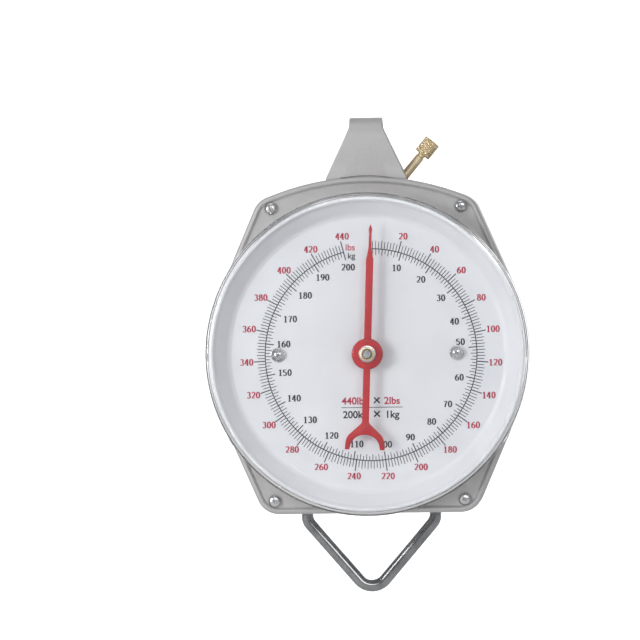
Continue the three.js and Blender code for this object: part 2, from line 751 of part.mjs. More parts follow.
function addMovement() {
  add("movement_frame", movementFrame(), "zinc");
  add("movement_bridge", movementBridge(), "zinc");
  add("front_bush", flangedBush(FRONT_BUSH), "brass");
  add("rear_bush", flangedBush(REAR_BUSH), "brass");
  const postEnd = BRIDGE.back - BRIDGE.sheet - GAP;
  const guide = turned(
    [
      [0, RACK.front - 1.1],
      [GUIDE.collar, RACK.front - 1.1],
      [GUIDE.collar, RACK.front - GAP],
      [GUIDE.post, RACK.front - GAP],
      [GUIDE.post, postEnd],
      [GUIDE.tip, postEnd],
      [GUIDE.tip, BRIDGE.back + 0.8],
      [0, BRIDGE.back + 0.8],
    ],
    14,
  );
  add("rack_guide_post", guide, "brass", GUIDE_X);
  const { x, z, radius, seat } = BRIDGE_SCREW;
  const bridgeScrew = turned(
    [
      [0, seat + 1.6],
      [1.7 * radius, seat + 1.6],
      [1.7 * radius, seat],
      [radius, seat],
      [radius, FRAME.front - 0.6],
      [0, FRAME.front - 0.6],
    ],
    10,
  );
  add("bridge_screw_lower", bridgeScrew.clone(), "zinc", x, -z);
  add("bridge_screw_upper", bridgeScrew.clone(), "zinc", x, z);
  const { headRadius, shankRadius, front } = FRAME_SCREW;
  const frameScrew = turned(
    [
      [0, CASE_DEPTH - 0.1],
      [headRadius, CASE_DEPTH - 0.1],
      [shankRadius, CASE_DEPTH - 1.4],
      [shankRadius, front],
      [0, front],
    ],
    12,
  );
  for (const [hand, way] of SIDES) {
    add("frame_screw_" + hand, frameScrew.clone(), "zinc", way * FRAME.holeX);
  }
}

// ---- Dial and cover ----
function dialPan() {
  const back = DIAL_Y + SHEET;
  const profile = [
    [PAN.centreHole, back],
    [PAN.centreHole, DIAL_Y],
    [DIAL_RADIUS, DIAL_Y],
    [DIAL_RADIUS + 1.6, DIAL_Y - 0.7],
    [PAN.rimInner, PAN.rimY],
    [PAN.rimOuter, PAN.rimY],
    [PAN.rimOuter, PAN.rimY + 1],
    [DIAL_RADIUS + 2.6, back],
  ];
  const screwHoles = onBothSides(rod(PLAIN_HOLE, DIAL_Y - 2, back + 2, 8), DIAL_SCREW.x);
  return cut(turned([...profile, profile[0]], 48), ...screwHoles);
}

function clearCover() {
  const { radius, front, back, wall, disc } = COVER;
  const shell = turned(
    [
      [0, front],
      [radius - 1.2, front],
      [radius, front + 1.2],
      [radius, back],
      [radius - wall, back],
      [radius - wall, front + disc],
      [0, front + disc],
    ],
    48,
  );
  const lugs = SIDES.map(([, way]) =>
    block([-2.5, back - 3.4, radius - 1], [2.5, back - 0.3, radius + 0.9]).rotateY(way * LUG_DEG * DEG),
  );
  return join(shell, ...lugs);
}

function dialPost() {
  const { inner, neck, collar } = DIAL_POST;
  const collarFront = DIAL_Y + SHEET + GAP;
  const collarBack = FRAME.front - GAP;
  const end = FRAME.back + 0.8;
  const corners = [
    [inner, collarFront],
    [collar, collarFront],
    [collar, collarBack],
    [neck, collarBack],
    [neck, end],
    [inner, end],
  ];
  return turned([...corners, corners[0]], 10);
}

function addDial() {
  add("dial_pan", dialPan(), "dialWhite");
  add("clear_cover", clearCover(), "clear");
  const washerBack = DIAL_Y - GAP;
  const washerFront = washerBack - DIAL_WASHER.sheet;
  const washer = ring(DIAL_WASHER.inner, DIAL_WASHER.outer, washerFront, washerBack, 12);
  const screw = panScrew(DIAL_SCREW, washerFront - GAP, FRAME.back);
  for (const [hand, way] of SIDES) {
    add("dial_post_" + hand, dialPost(), "zinc", way * DIAL_SCREW.x);
    add("dial_washer_" + hand, washer.clone(), "zinc", way * DIAL_SCREW.x);
    add("dial_screw_" + hand, screw.clone(), "zinc", way * DIAL_SCREW.x);
  }
}

// ---- Pointer ----
// The blade points up and its forked tail hangs down, both symmetric about the shaft.
function pointerOutline() {
  const outline = new THREE.Shape();
  outline.moveTo(1.95, 0);
  outline.lineTo(1.95, 49.5);
  outline.lineTo(0.8, 55.7);
  outline.lineTo(0.62, 63.5);
  outline.quadraticCurveTo(1.05, 65.2, 0.55, 66.8);
  outline.lineTo(0, 68.3);
  outline.lineTo(-0.55, 66.8);
  outline.quadraticCurveTo(-1.05, 65.2, -0.62, 63.5);
  outline.lineTo(-0.8, 55.7);
  outline.lineTo(-1.95, 49.5);
  outline.lineTo(-1.85, -35);
  outline.lineTo(-9, -42);
  outline.quadraticCurveTo(-10.9, -44.4, -10.9, -50);
  outline.lineTo(-8.2, -50);
  outline.bezierCurveTo(-7.9, -44, -4.6, -41.3, 0, -41.3);
  outline.bezierCurveTo(4.6, -41.3, 7.9, -44, 8.2, -50);
  outline.lineTo(10.9, -50);
  outline.quadraticCurveTo(10.9, -44.4, 9, -42);
  outline.lineTo(1.85, -35);
  return outline;
}

function addPointer() {
  const group = new THREE.Group();
  const made = new THREE.ExtrudeGeometry(pointerOutline(), {
    depth: POINTER_SHEET,
    bevelEnabled: false,
    curveSegments: 5,
  });
  const blade = facingOut(made.rotateX(Math.PI / 2).translate(0, POINTER_Y + POINTER_SHEET / 2, 0));
  const hub = rod(HUB_RADIUS, POINTER_Y - 1, POINTER_Y + 1, 24);
  const pointer = cut(join(blade, hub), rod(BORE_RADIUS, -12, 0, 12));
  const washerBack = POINTER_Y - 1 - GAP;
  const washerFront = washerBack - POINTER_WASHER.sheet;
  const nutBack = washerFront - GAP;
  const nutBody = plate(hexagon(POINTER_NUT.acrossFlats), nutBack - POINTER_NUT.height, nutBack);
  const nut = cut(nutBody, rod(BORE_RADIUS, COVER.front, 0, 12));
  const shaft = turned(
    [
      [0, SHAFT.front],
      [SHAFT_RADIUS - 0.4, SHAFT.front],
      [SHAFT_RADIUS, SHAFT.front + 0.4],
      [SHAFT_RADIUS, SHAFT.shoulderFront],
      [SHAFT.shoulderRadius, SHAFT.shoulderFront],
      [SHAFT.shoulderRadius, SHAFT.shoulderBack],
      [SHAFT_RADIUS, SHAFT.shoulderBack],
      [SHAFT_RADIUS, SHAFT.back],
      [0, SHAFT.back],
    ],
    12,
  );
  const pinion = cut(plate(pinionOutline(), RACK.front - GAP, RACK.back + GAP), rod(BORE_RADIUS, 0, 14, 12));
  add("pointer", pointer, "pointerRed");
  add("pointer_washer", ring(BORE_RADIUS, POINTER_WASHER.radius, washerFront, washerBack, 12), "zinc");
  add("pointer_nut", nut, "brass");
  add("pointer_shaft", shaft, "zinc");
  add("pinion", pinion, "brass");
  for (const name of ["pointer", "pointer_washer", "pointer_nut"]) {
    group.add(scale.getObjectByName(name));
  }
  group.rotation.y = POINTER_REST_DEG * DEG;
  scale.add(group);
}

// ---- Zero adjuster ----
function addZeroAdjuster() {
  const { stem, head, headStart, headEnd, innerEnd, bush } = ZERO;
  const screw = turnedOnZeroAxis(
    [
      [0, headEnd],
      [head - 0.7, headEnd],
      [head, headEnd - 0.7],
      [head, headStart + 0.7],
      [head - 0.7, headStart],
      [stem, headStart],
      [stem, innerEnd + 0.6],
      [stem - 0.6, innerEnd],
      [0, innerEnd],
    ],
    16,
  );
  const bushCorners = [
    [stem + GAP, 1.2],
    [bush, 1.2],
    [bush, -6],
    [6, -6],
    [6, -7.2],
    [stem + GAP, -7.2],
  ];
  const clipCorners = [
    [stem + GAP, -7.6],
    [4.2, -7.6],
    [4.2, -8.4],
    [stem + GAP, -8.4],
  ];
  const nutHalfDepth = LEG_INNER - 2 * GAP;
  const nut = cut(
    alongZeroAxis(block([-4, -nutHalfDepth, -17], [4, nutHalfDepth, -12])),
    zeroRod(stem + GAP, -20, -9),
  );
  add("zero_screw", screw, "brass");
  add("zero_bush", turnedOnZeroAxis([...bushCorners, bushCorners[0]], 12), "brass");
  add("zero_clip", turnedOnZeroAxis([...clipCorners, clipCorners[0]], 10), "springSteel");
  add("zero_nut", nut, "zinc");
}

addCase();
addHanger();
addLoadCarriage();
addMovement();
addDial();
addPointer();
addZeroAdjuster();

// The origin is where a hook bears: the top of the eye under the strap's fold.
scale.position.set(0, -LOAD_Y, STRAP_SHEET - STRAP_TOP);
const part = new THREE.Group();
part.add(scale);

export default part;
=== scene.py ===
import json
from math import asin, atan2, cos, pi, radians, sin, sqrt, tan

import bmesh
import bpy
from mathutils import Matrix, Vector


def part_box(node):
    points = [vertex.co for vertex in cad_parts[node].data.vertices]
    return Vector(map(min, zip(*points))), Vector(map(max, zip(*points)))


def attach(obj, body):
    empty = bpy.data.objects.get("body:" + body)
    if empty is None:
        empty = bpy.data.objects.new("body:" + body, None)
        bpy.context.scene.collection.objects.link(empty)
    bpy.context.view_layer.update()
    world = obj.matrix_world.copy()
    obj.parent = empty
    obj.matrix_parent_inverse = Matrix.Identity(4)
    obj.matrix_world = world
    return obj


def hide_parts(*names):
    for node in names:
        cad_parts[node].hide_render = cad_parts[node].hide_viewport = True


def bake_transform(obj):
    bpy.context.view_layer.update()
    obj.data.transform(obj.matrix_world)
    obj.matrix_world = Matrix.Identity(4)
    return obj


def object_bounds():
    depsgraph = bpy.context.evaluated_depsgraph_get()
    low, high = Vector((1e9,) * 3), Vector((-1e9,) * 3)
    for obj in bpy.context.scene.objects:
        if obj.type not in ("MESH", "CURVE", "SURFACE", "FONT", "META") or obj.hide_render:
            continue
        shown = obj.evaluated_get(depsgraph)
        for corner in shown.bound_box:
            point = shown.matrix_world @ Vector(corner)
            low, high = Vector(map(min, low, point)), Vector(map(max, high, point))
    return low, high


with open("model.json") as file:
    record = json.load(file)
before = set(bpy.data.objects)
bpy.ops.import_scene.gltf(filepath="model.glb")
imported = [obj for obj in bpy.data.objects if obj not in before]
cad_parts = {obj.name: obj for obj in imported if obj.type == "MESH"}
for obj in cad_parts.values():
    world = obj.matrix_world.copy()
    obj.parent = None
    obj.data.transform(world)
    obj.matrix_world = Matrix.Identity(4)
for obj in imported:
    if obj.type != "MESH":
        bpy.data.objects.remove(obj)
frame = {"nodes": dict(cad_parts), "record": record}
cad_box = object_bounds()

MM = 0.001
nodes = frame["nodes"]

# ---- Places, all from the frame ----
cover_low, cover_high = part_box("clear_cover")
shell_low, shell_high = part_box("front_shell")
pan_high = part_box("dial_pan")[1]
strap_low, strap_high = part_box("hanger_strap")
bail_low, bail_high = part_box("bail")
CENTRE = Vector(((cover_low.x + cover_high.x) / 2, shell_low.y, (cover_low.z + cover_high.z) / 2))
LOAD_Y = (bail_low.y + bail_high.y) / 2 - CENTRE.y


def at(x, y, z):
    """A point given from the dial's centre, with y behind the crest of the case's rim."""
    return CENTRE + Vector((x, y, z))


def middle(node):
    low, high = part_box(node)
    return (low + high) / 2


def in_mm(points):
    return [tuple(value * MM for value in point) for point in points]


def grey(level):
    return (level, level, level)


# ---- Meshes ----
SHARP_DEG, CRISP_DEG = 35, 12


def new_object(name, data):
    thing = bpy.data.objects.new(name, data)
    bpy.context.scene.collection.objects.link(thing)
    return thing


def mesh_object(name, vertices, faces, material, sharp_deg=SHARP_DEG):
    mesh = bpy.data.meshes.new(name)
    mesh.from_pydata([tuple(v) for v in vertices], [], faces)
    mesh.validate()
    work = bmesh.new()
    work.from_mesh(mesh)
    bmesh.ops.remove_doubles(work, verts=work.verts, dist=1e-7)
    bmesh.ops.recalc_face_normals(work, faces=work.faces)
    work.to_mesh(mesh)
    work.free()
    mesh.shade_smooth()
    mesh.set_sharp_from_angle(angle=radians(sharp_deg))
    mesh.materials.append(material)
    return new_object(name, mesh)


def apply_modifiers(thing):
    bpy.context.view_layer.update()
    shown = thing.evaluated_get(bpy.context.evaluated_depsgraph_get())
    mesh = bpy.data.meshes.new_from_object(shown)
    thing.modifiers.clear()
    thing.data = mesh
    mesh.shade_smooth()
    mesh.set_sharp_from_angle(angle=radians(SHARP_DEG))


def combine(body, operation, *tools):
    """Boolean joins or cuts, which remove the tools from the scene."""
    for tool in tools:
        step = body.modifiers.new("step", "BOOLEAN")
        step.operation = operation
        step.solver = "EXACT"
        step.object = tool
    apply_modifiers(body)
    for tool in tools:
        bpy.data.objects.remove(tool)


def cut(body, *tools):
    combine(body, "DIFFERENCE", *tools)


def bevelled(thing, width, segments=2, limit_deg=40):
    step = thing.modifiers.new("bevel", "BEVEL")
    step.width = width
    step.segments = segments
    step.limit_method = "ANGLE"
    step.angle_limit = radians(limit_deg)
    apply_modifiers(thing)


def lathe_data(profile, place, direction, sides, modulate=None):
    """Vertices and faces of a closed profile of (radius, distance) turned about direction through place."""
    axis = Vector(direction).normalized()
    first = axis.orthogonal().normalized()
    second = axis.cross(first)
    vertices = []
    for k in range(sides):
        angle = 2 * pi * k / sides
        outwards = first * cos(angle) + second * sin(angle)
        for index, (radius, distance) in enumerate(profile):
            reach = modulate(radius, index, k) if modulate else radius
            vertices.append(place + axis * distance + outwards * reach)
    count = len(profile)
    faces = []
    for k in range(sides):
        following = (k + 1) % sides
        for i in range(count):
            j = (i + 1) % count
            if profile[i][0] == 0 and profile[j][0] == 0:
                continue
            faces.append((k * count + i, k * count + j, following * count + j, following * count + i))
    return vertices, faces


def lathe(name, profile, place, material, direction=(0, 1, 0), sides=64, modulate=None):
    vertices, faces = lathe_data(profile, place, direction, sides, modulate)
    return mesh_object(name, vertices, faces, material)


def rounded(profile, radius, steps=4):
    """A closed profile with every corner off the axis rounded."""
    points = []
    count = len(profile)
    for i in range(count):
        corner = Vector(profile[i])
        before = Vector(profile[i - 1]) - corner
        after = Vector(profile[(i + 1) % count]) - corner
        reach = min(radius, before.length * 0.45, after.length * 0.45)
        if corner.x < 1e-9 or reach < 1e-6:
            points.append(tuple(corner))
            continue
        start = corner + before.normalized() * reach
        end = corner + after.normalized() * reach
        for k in range(steps + 1):
            t = k / steps
            points.append(tuple(start * (1 - t) ** 2 + corner * 2 * t * (1 - t) + end * t * t))
    return points


def turned(things, place, turn, axis):
    """Turns the meshes of things about an axis through place."""
    spin = Matrix.Translation(place) @ Matrix.Rotation(turn, 4, axis) @ Matrix.Translation(-place)
    for thing in things:
        thing.data.transform(spin)
    return things


def tube_data(path, radius, sides):
    """A closed tube through points, turned along its path without twist."""
    count = len(path)
    tangents = [(path[min(i + 1, count - 1)] - path[max(i - 1, 0)]).normalized() for i in range(count)]
    normal = tangents[0].orthogonal().normalized()
    vertices = []
    faces = []
    for i, point in enumerate(path):
        normal = (normal - tangents[i] * normal.dot(tangents[i])).normalized()
        side = tangents[i].cross(normal)
        for k in range(sides):
            angle = 2 * pi * k / sides
            vertices.append(point + (normal * cos(angle) + side * sin(angle)) * radius)
    for i in range(count - 1):
        for k in range(sides):
            n = (k + 1) % sides
            faces.append((i * sides + k, i * sides + n, (i + 1) * sides + n, (i + 1) * sides + k))
    faces.append(tuple(range(sides)))
    faces.append(tuple(range((count - 1) * sides, count * sides)))
    return vertices, faces


def prism(name, outline, front, back, material):
    """An outline of (x, z) points from the dial's centre, between two depths."""
    count = len(outline)
    vertices = [at(x, front, z) for x, z in outline] + [at(x, back, z) for x, z in outline]
    faces = [tuple(range(count)), tuple(range(2 * count - 1, count - 1, -1))]
    faces += [(i, (i + 1) % count, count + (i + 1) % count, count + i) for i in range(count)]
    return mesh_object(name, vertices, faces, material)


def slab(name, low, high, material):
    corners = [(x, y, z) for x in (low.x, high.x) for y in (low.y, high.y) for z in (low.z, high.z)]
    faces = [(0, 1, 3, 2), (4, 6, 7, 5), (0, 4, 5, 1), (2, 3, 7, 6), (0, 2, 6, 4), (1, 5, 7, 3)]
    return mesh_object(name, corners, faces, material)


def loft_data(layers):
    """Vertices and faces of a closed body through outlines of equal point count, each (outline, depth)."""
    count = len(layers[0][0])
    vertices = [at(x, depth, z) for outline, depth in layers for x, z in outline]
    faces = []
    for layer in range(len(layers) - 1):
        for i in range(count):
            a = layer * count + i
            b = layer * count + (i + 1) % count
            faces.append((a, b, b + count, a + count))
    last = (len(layers) - 1) * count
    faces.append(tuple(range(count)))
    faces.append(tuple(range(last + count - 1, last - 1, -1)))
    return vertices, faces


# ---- Materials ----
class Nodes:
    """A short way to write a material's node tree round its one Principled shader."""

    def __init__(self, name):
        self.material = bpy.data.materials.new(name)
        self.material.use_nodes = True
        self.tree = self.material.node_tree
        self.shader = self.tree.nodes["Principled BSDF"]
        self.place = self.tree.nodes.new("ShaderNodeTexCoord").outputs["Object"]

    def add(self, kind, inputs=(), **settings):
        node = self.tree.nodes.new("ShaderNode" + kind)
        for key, value in settings.items():
            setattr(node, key, value)
        for key, value in dict(inputs).items():
            if isinstance(value, bpy.types.NodeSocket):
                self.tree.links.new(value, node.inputs[key])
            else:
                node.inputs[key].default_value = value
        return node

    def set(self, **values):
        for key, value in values.items():
            self.shader.inputs[key.replace("_", " ")].default_value = value

    def link(self, socket, name):
        self.tree.links.new(socket, self.shader.inputs[name])

    def noise(self, size, detail=4.0, stretch=(1, 1, 1), roughness=0.55):
        """Noise whose features are about size metres, stretched along an axis by a factor below 1."""
        mapped = self.add("Mapping", {"Vector": self.place, "Scale": stretch})
        made = self.add("TexNoise", {
            "Vector": mapped.outputs[0], "Scale": 1 / size, "Detail": detail, "Roughness": roughness,
        })
        return made.outputs["Fac"]

    def ramp(self, factor, stops):
        made = self.add("ValToRGB", {"Fac": factor})
        elements = made.color_ramp.elements
        while len(elements) < len(stops):
            elements.new(0.5)
        for element, (position, colour) in zip(elements, stops):
            element.position = position
            element.color = (*colour, 1)
        return made.outputs["Color"]

    def range(self, factor, low, high, source_low=0.3, source_high=0.7):
        made = self.add("MapRange", {
            "Value": factor, "From Min": source_low, "From Max": source_high, "To Min": low, "To Max": high,
        })
        return made.outputs["Result"]

    def mix(self, factor, first, second, blend="MIX"):
        made = self.add("Mix", data_type="RGBA", blend_type=blend)
        for socket, value in zip((made.inputs[0], made.inputs[6], made.inputs[7]), (factor, first, second)):
            if isinstance(value, bpy.types.NodeSocket):
                self.tree.links.new(value, socket)
            elif socket.type == "RGBA":
                socket.default_value = (*value, 1)
            else:
                socket.default_value = value
        return made.outputs[2]

    def bump(self, *layers):
        """Bump from (height socket, strength, distance) layers, one over the other."""
        normal = None
        for height, strength, distance in layers:
            inputs = {"Height": height, "Strength": strength, "Distance": distance}
            if normal is not None:
                inputs["Normal"] = normal
            normal = self.add("Bump", inputs).outputs["Normal"]
        self.link(normal, "Normal")


def scratches(work, size, low=0.62, high=0.68):
    """A mask of fine straight marks in two crossing directions."""
    first = work.noise(size, 2.0, (1, 1, 0.06))
    second = work.noise(size * 0.8, 2.0, (0.07, 1, 1))
    brighter = work.add("Math", {0: first, 1: second}, operation="MAXIMUM").outputs[0]
    return work.range(brighter, 0, 1, low, high)


def paint_material():
    """Silver-grey stove enamel: fine metal flake, orange peel, and small dull marks."""
    work = Nodes("case_paint")
    cloud = work.noise(0.035, 3.0)
    flake = work.noise(0.00028, 1.0)
    base = work.ramp(cloud, [
        (0.25, (0.535, 0.523, 0.517)), (0.6, (0.59, 0.578, 0.572)), (0.85, (0.63, 0.618, 0.612)),
    ])
    sparkle = work.ramp(flake, [(0.35, grey(0.84)), (0.62, grey(1.0)), (0.75, grey(1.2))])
    colour = work.mix(0.6, base, sparkle, "MULTIPLY")
    # Lighter towards sharp convex edges, found from the mesh's pointiness.
    edge_pointiness = work.add("NewGeometry").outputs["Pointiness"]
    edge = work.range(edge_pointiness, 0, 0.45, 0.52, 0.58)
    work.link(work.mix(edge, colour, (0.66, 0.655, 0.65)), "Base Color")
    work.link(work.range(cloud, 0.46, 0.56), "Roughness")
    work.set(Metallic=0.28, Coat_Weight=0.06, Coat_Roughness=0.35)
    peel = work.noise(0.0011, 2.0)
    work.bump((peel, 0.10, 0.0002), (flake, 0.05, 0.0001), (scratches(work, 0.004), 0.04, 0.0001))
    return work.material


def metal_material(name, dark, plain, light, rough):
    """Bare or plated metal: uneven tone, tool grain and handling scratches."""
    work = Nodes(name)
    cloud = work.noise(0.008, 4.0)
    fine = work.noise(0.0006, 3.0)
    marked = scratches(work, 0.0025)
    tone = work.ramp(cloud, [(0.28, dark), (0.5, plain), (0.75, light)])
    work.link(work.mix(work.range(fine, 0, 0.35), tone, light), "Base Color")
    inputs = {0: marked, 1: 0.12, 2: work.range(cloud, *rough)}
    rougher = work.add("Math", inputs, operation="MULTIPLY_ADD")
    work.link(rougher.outputs[0], "Roughness")
    work.set(Metallic=1.0)
    work.bump((fine, 0.08, 0.0001), (marked, 0.105, 0.00005))
    return work.material


def white_material():
    """Glossy white enamel on the dial pan, with faint unevenness and dust."""
    work = Nodes("dial_white")
    cloud = work.noise(0.03, 3.0)
    dust = work.noise(0.0007, 2.0)
    tone = work.ramp(cloud, [
        (0.3, (0.73, 0.735, 0.76)), (0.55, (0.755, 0.76, 0.785)), (0.8, (0.775, 0.78, 0.80)),
    ])
    speck = work.range(dust, 0, 0.25, 0.68, 0.76)
    work.link(work.mix(speck, tone, (0.66, 0.66, 0.68)), "Base Color")
    work.link(work.range(cloud, 0.30, 0.42), "Roughness")
    work.set(Specular_IOR_Level=0.45)
    work.bump((work.noise(0.0016, 2.0), 0.05, 0.0001), (dust, 0.03, 0.00005))
    return work.material


def ink_material(name, dark, plain):
    """Screen-printed ink: slightly uneven cover and a dull film."""
    work = Nodes(name)
    cover = work.noise(0.0004, 3.0)
    work.link(work.ramp(cover, [(0.3, dark), (0.7, plain)]), "Base Color")
    work.link(work.range(cover, 0.45, 0.62), "Roughness")
    work.bump((cover, 0.1, 0.00002))
    return work.material


def red_material():
    """Red moulded plastic with a faint flow pattern."""
    work = Nodes("pointer_red")
    flow = work.noise(0.006, 3.0, (1, 1, 0.25))
    fine = work.noise(0.0004, 2.0)
    work.link(work.ramp(flow, [(0.3, (0.43, 0.010, 0.015)), (0.7, (0.51, 0.016, 0.022))]), "Base Color")
    work.link(work.range(fine, 0.28, 0.42), "Roughness")
    work.set(Coat_Weight=0.15, Coat_Roughness=0.15)
    work.bump((fine, 0.06, 0.00005), (flow, 0.05, 0.0002))
    return work.material


def clear_material():
    """Clear moulded plastic that lets the lamps through, with fine handling marks."""
    work = Nodes("clear_plastic")
    marks = scratches(work, 0.003, 0.66, 0.72)
    tint = work.ramp(work.noise(0.02, 2.0), [(0.3, (0.955, 0.965, 0.972)), (0.7, (0.975, 0.98, 0.985))])
    work.link(tint, "Base Color")
    work.link(work.range(marks, 0.015, 0.12, 0, 1), "Roughness")
    work.set(IOR=1.49, Transmission_Weight=1.0)
    work.bump((marks, 0.02, 0.00002), (work.noise(0.012, 1.0), 0.02, 0.0003))
    open_way = work.add("BsdfTransparent", {"Color": (0.96, 0.965, 0.97, 1)})
    shadow = work.add("LightPath").outputs["Is Shadow Ray"]
    both = work.add("MixShader", {0: shadow, 1: work.shader.outputs[0], 2: open_way.outputs[0]})
    work.tree.links.new(both.outputs[0], work.tree.nodes["Material Output"].inputs["Surface"])
    return work.material


# Dark, plain and light tone of each metal, and the range of its roughness.
METALS = {
    "zinc_plate": ((0.50, 0.51, 0.52), (0.66, 0.67, 0.68), (0.80, 0.80, 0.80), (0.16, 0.30)),
    "spring_steel": ((0.07, 0.07, 0.075), (0.14, 0.14, 0.145), (0.22, 0.22, 0.22), (0.28, 0.44)),
    "brass": ((0.46, 0.34, 0.18), (0.78, 0.62, 0.38), (0.95, 0.84, 0.62), (0.28, 0.42)),
    # The bail's wire is zinc plate given a darker tone: painted shade for the dark surroundings it reflects.
    "bail_zinc_shaded": ((0.22, 0.225, 0.23), (0.34, 0.345, 0.35), (0.46, 0.46, 0.46), (0.13, 0.22)),
}
PAINT = paint_material()
ZINC, STEEL, BRASS, SHADED_WIRE = (metal_material(name, *look) for name, look in METALS.items())
WHITE = white_material()
RED = red_material()
CLEAR = clear_material()
BLACK_INK = ink_material("black_ink", (0.012, 0.014, 0.02), (0.03, 0.033, 0.042))
RED_INK = ink_material("red_ink", (0.42, 0.012, 0.045), (0.52, 0.03, 0.07))
FINISH = {
    "case_paint": PAINT,
    "zinc_plate": ZINC,
    "spring_steel": STEEL,
    "brass": BRASS,
    "dial_white": WHITE,
    "pointer_red": RED,
    "clear_plastic": CLEAR,
}


def finish_cad_nodes():
    for part in frame["record"]["subparts"]:
        mesh = nodes[part["node"]].data
        mesh.materials.clear()
        mesh.materials.append(FINISH[part["material_slot"]])


def stands_for(thing, body, slot, *replaced):
    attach(thing, body)
    if replaced:
        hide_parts(*replaced)


# The zero screw's tilt, and its head in millimetres from where its axis enters the case.
ZERO_TILT = radians(40)
ZERO_HEAD_RADIUS, ZERO_HEAD_START, ZERO_HEAD_END, ZERO_HEAD_CHAMFER = 4.55, 17.2, 26.5, 0.7


def zero_place():
    """Where the zero screw's axis enters the case, found back from the corner of the screw's head."""
    low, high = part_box("zero_screw")
    radius, end, chamfer = ZERO_HEAD_RADIUS * MM, ZERO_HEAD_END * MM, ZERO_HEAD_CHAMFER * MM
    right = high.x - (radius * cos(ZERO_TILT) + (end - chamfer) * sin(ZERO_TILT))
    upper = high.z - ((radius - chamfer) * sin(ZERO_TILT) + end * cos(ZERO_TILT))
    return Vector((right, (low.y + high.y) / 2, upper))


ZERO_AXIS = Vector((sin(ZERO_TILT), 0, cos(ZERO_TILT)))
ZERO_PLACE = zero_place()


# ---- Case ----
CASE_RADIUS = (shell_high.x - shell_low.x) / 2
CASE_TOP = shell_high.z - CENTRE.z
CASE_BOTTOM = shell_low.z - CENTRE.z
CASE_TOP_RADIUS = 138 * MM
CASE_CORNER = 12 * MM
LEAST_CORNER = 1.5 * MM
SIDE = radians(23.5)
FACE_Y = 1.5 * MM
BACK_Y = 36 * MM
SCREW_X, SCREW_Z = 50 * MM, 77 * MM
STRAP_SHEET = 2.5 * MM
SLOT_TOP = CENTRE.z + 100 * MM


def fillet(corner, towards_start, towards_end, radius, steps=8):
    """Points of a round corner, as a true arc between its two tangent points."""
    between = towards_start.angle(towards_end)
    reach = radius / tan(between / 2)
    centre = corner + (towards_start + towards_end).normalized() * (radius / sin(between / 2))
    start = corner + towards_start * reach - centre
    end = corner + towards_end * reach - centre
    turn = atan2(start.x * end.y - start.y * end.x, start.dot(end))
    points = []
    for k in range(steps + 1):
        angle = turn * k / steps
        x = start.x * cos(angle) - start.y * sin(angle)
        z = start.x * sin(angle) + start.y * cos(angle)
        points.append(centre + Vector((x, z)))
    return points


def case_outline(inset):
    """The case's outline drawn inwards by inset: arc on top, straight slopes, round sides, flat bottom."""
    radius = CASE_RADIUS - inset
    top_radius = CASE_TOP_RADIUS - inset
    top_centre = CASE_TOP - CASE_TOP_RADIUS
    bottom = CASE_BOTTOM + inset
    corner = max(CASE_CORNER - inset, LEAST_CORNER)
    tangent = Vector((radius * cos(SIDE), radius * sin(SIDE)))
    upwards = Vector((-sin(SIDE), cos(SIDE)))
    from_centre = tangent - Vector((0, top_centre))
    half = from_centre.dot(upwards)
    reach = -half + sqrt(half * half - from_centre.length_squared + top_radius * top_radius)
    upper = tangent + upwards * reach
    along_top = Vector((top_centre - upper.y, upper.x)).normalized()
    upper_corner = fillet(upper, along_top, -upwards, corner)
    arc_end = asin(min(1, upper_corner[0].x / top_radius))
    top_steps = 16
    right = []
    for k in range(top_steps):
        angle = arc_end * k / top_steps
        right.append(Vector((top_radius * sin(angle), top_centre + top_radius * cos(angle))))
    right += upper_corner
    side_steps = 24
    for k in range(side_steps + 1):
        angle = SIDE - 2 * SIDE * k / side_steps
        right.append(Vector((radius * cos(angle), radius * sin(angle))))
    outwards = Vector((sin(SIDE), cos(SIDE)))
    fall = (tangent.y + bottom) / cos(SIDE)
    lower = Vector((tangent.x, -tangent.y)) + outwards * fall
    right += fillet(lower, outwards, Vector((-1, 0)), corner)
    left = [Vector((-p.x, p.y)) for p in reversed(right[1:])]
    return [tuple(p) for p in right + left]


def case_body(name, steps):
    """A closed body of the case's outline, through steps of inset and depth in millimetres."""
    vertices, faces = loft_data([(case_outline(inset * MM), depth * MM) for inset, depth in steps])
    return mesh_object(name, vertices, faces, PAINT)


def cylinder_tool(place, direction, radius, start, end, sides=40):
    profile = [(0, start), (radius, start), (radius, end), (0, end)]
    return lathe("tool", profile, place, PAINT, direction, sides)


def strap_slit():
    """The wider middle of the front slot, which leaves a dark gap in front of the strap."""
    half, foot = 13.5 * MM, 92.3 * MM
    return slab("tool", at(-half, 1 * MM, foot), Vector((half, strap_low.y + 1 * MM, SLOT_TOP)), PAINT)


def slot_tools():
    """Boxes that open the case's top for the strap's two legs."""
    half, gap, foot = strap_high.x + 0.6 * MM, 0.3 * MM, CENTRE.z + 80 * MM
    tools = []
    for low, high in ((strap_low.y, strap_low.y + STRAP_SHEET), (strap_high.y - STRAP_SHEET, strap_high.y)):
        corners = Vector((-half, low - gap, foot)), Vector((half, high + gap, SLOT_TOP))
        tools.append(slab("tool", *corners, PAINT))
    return tools


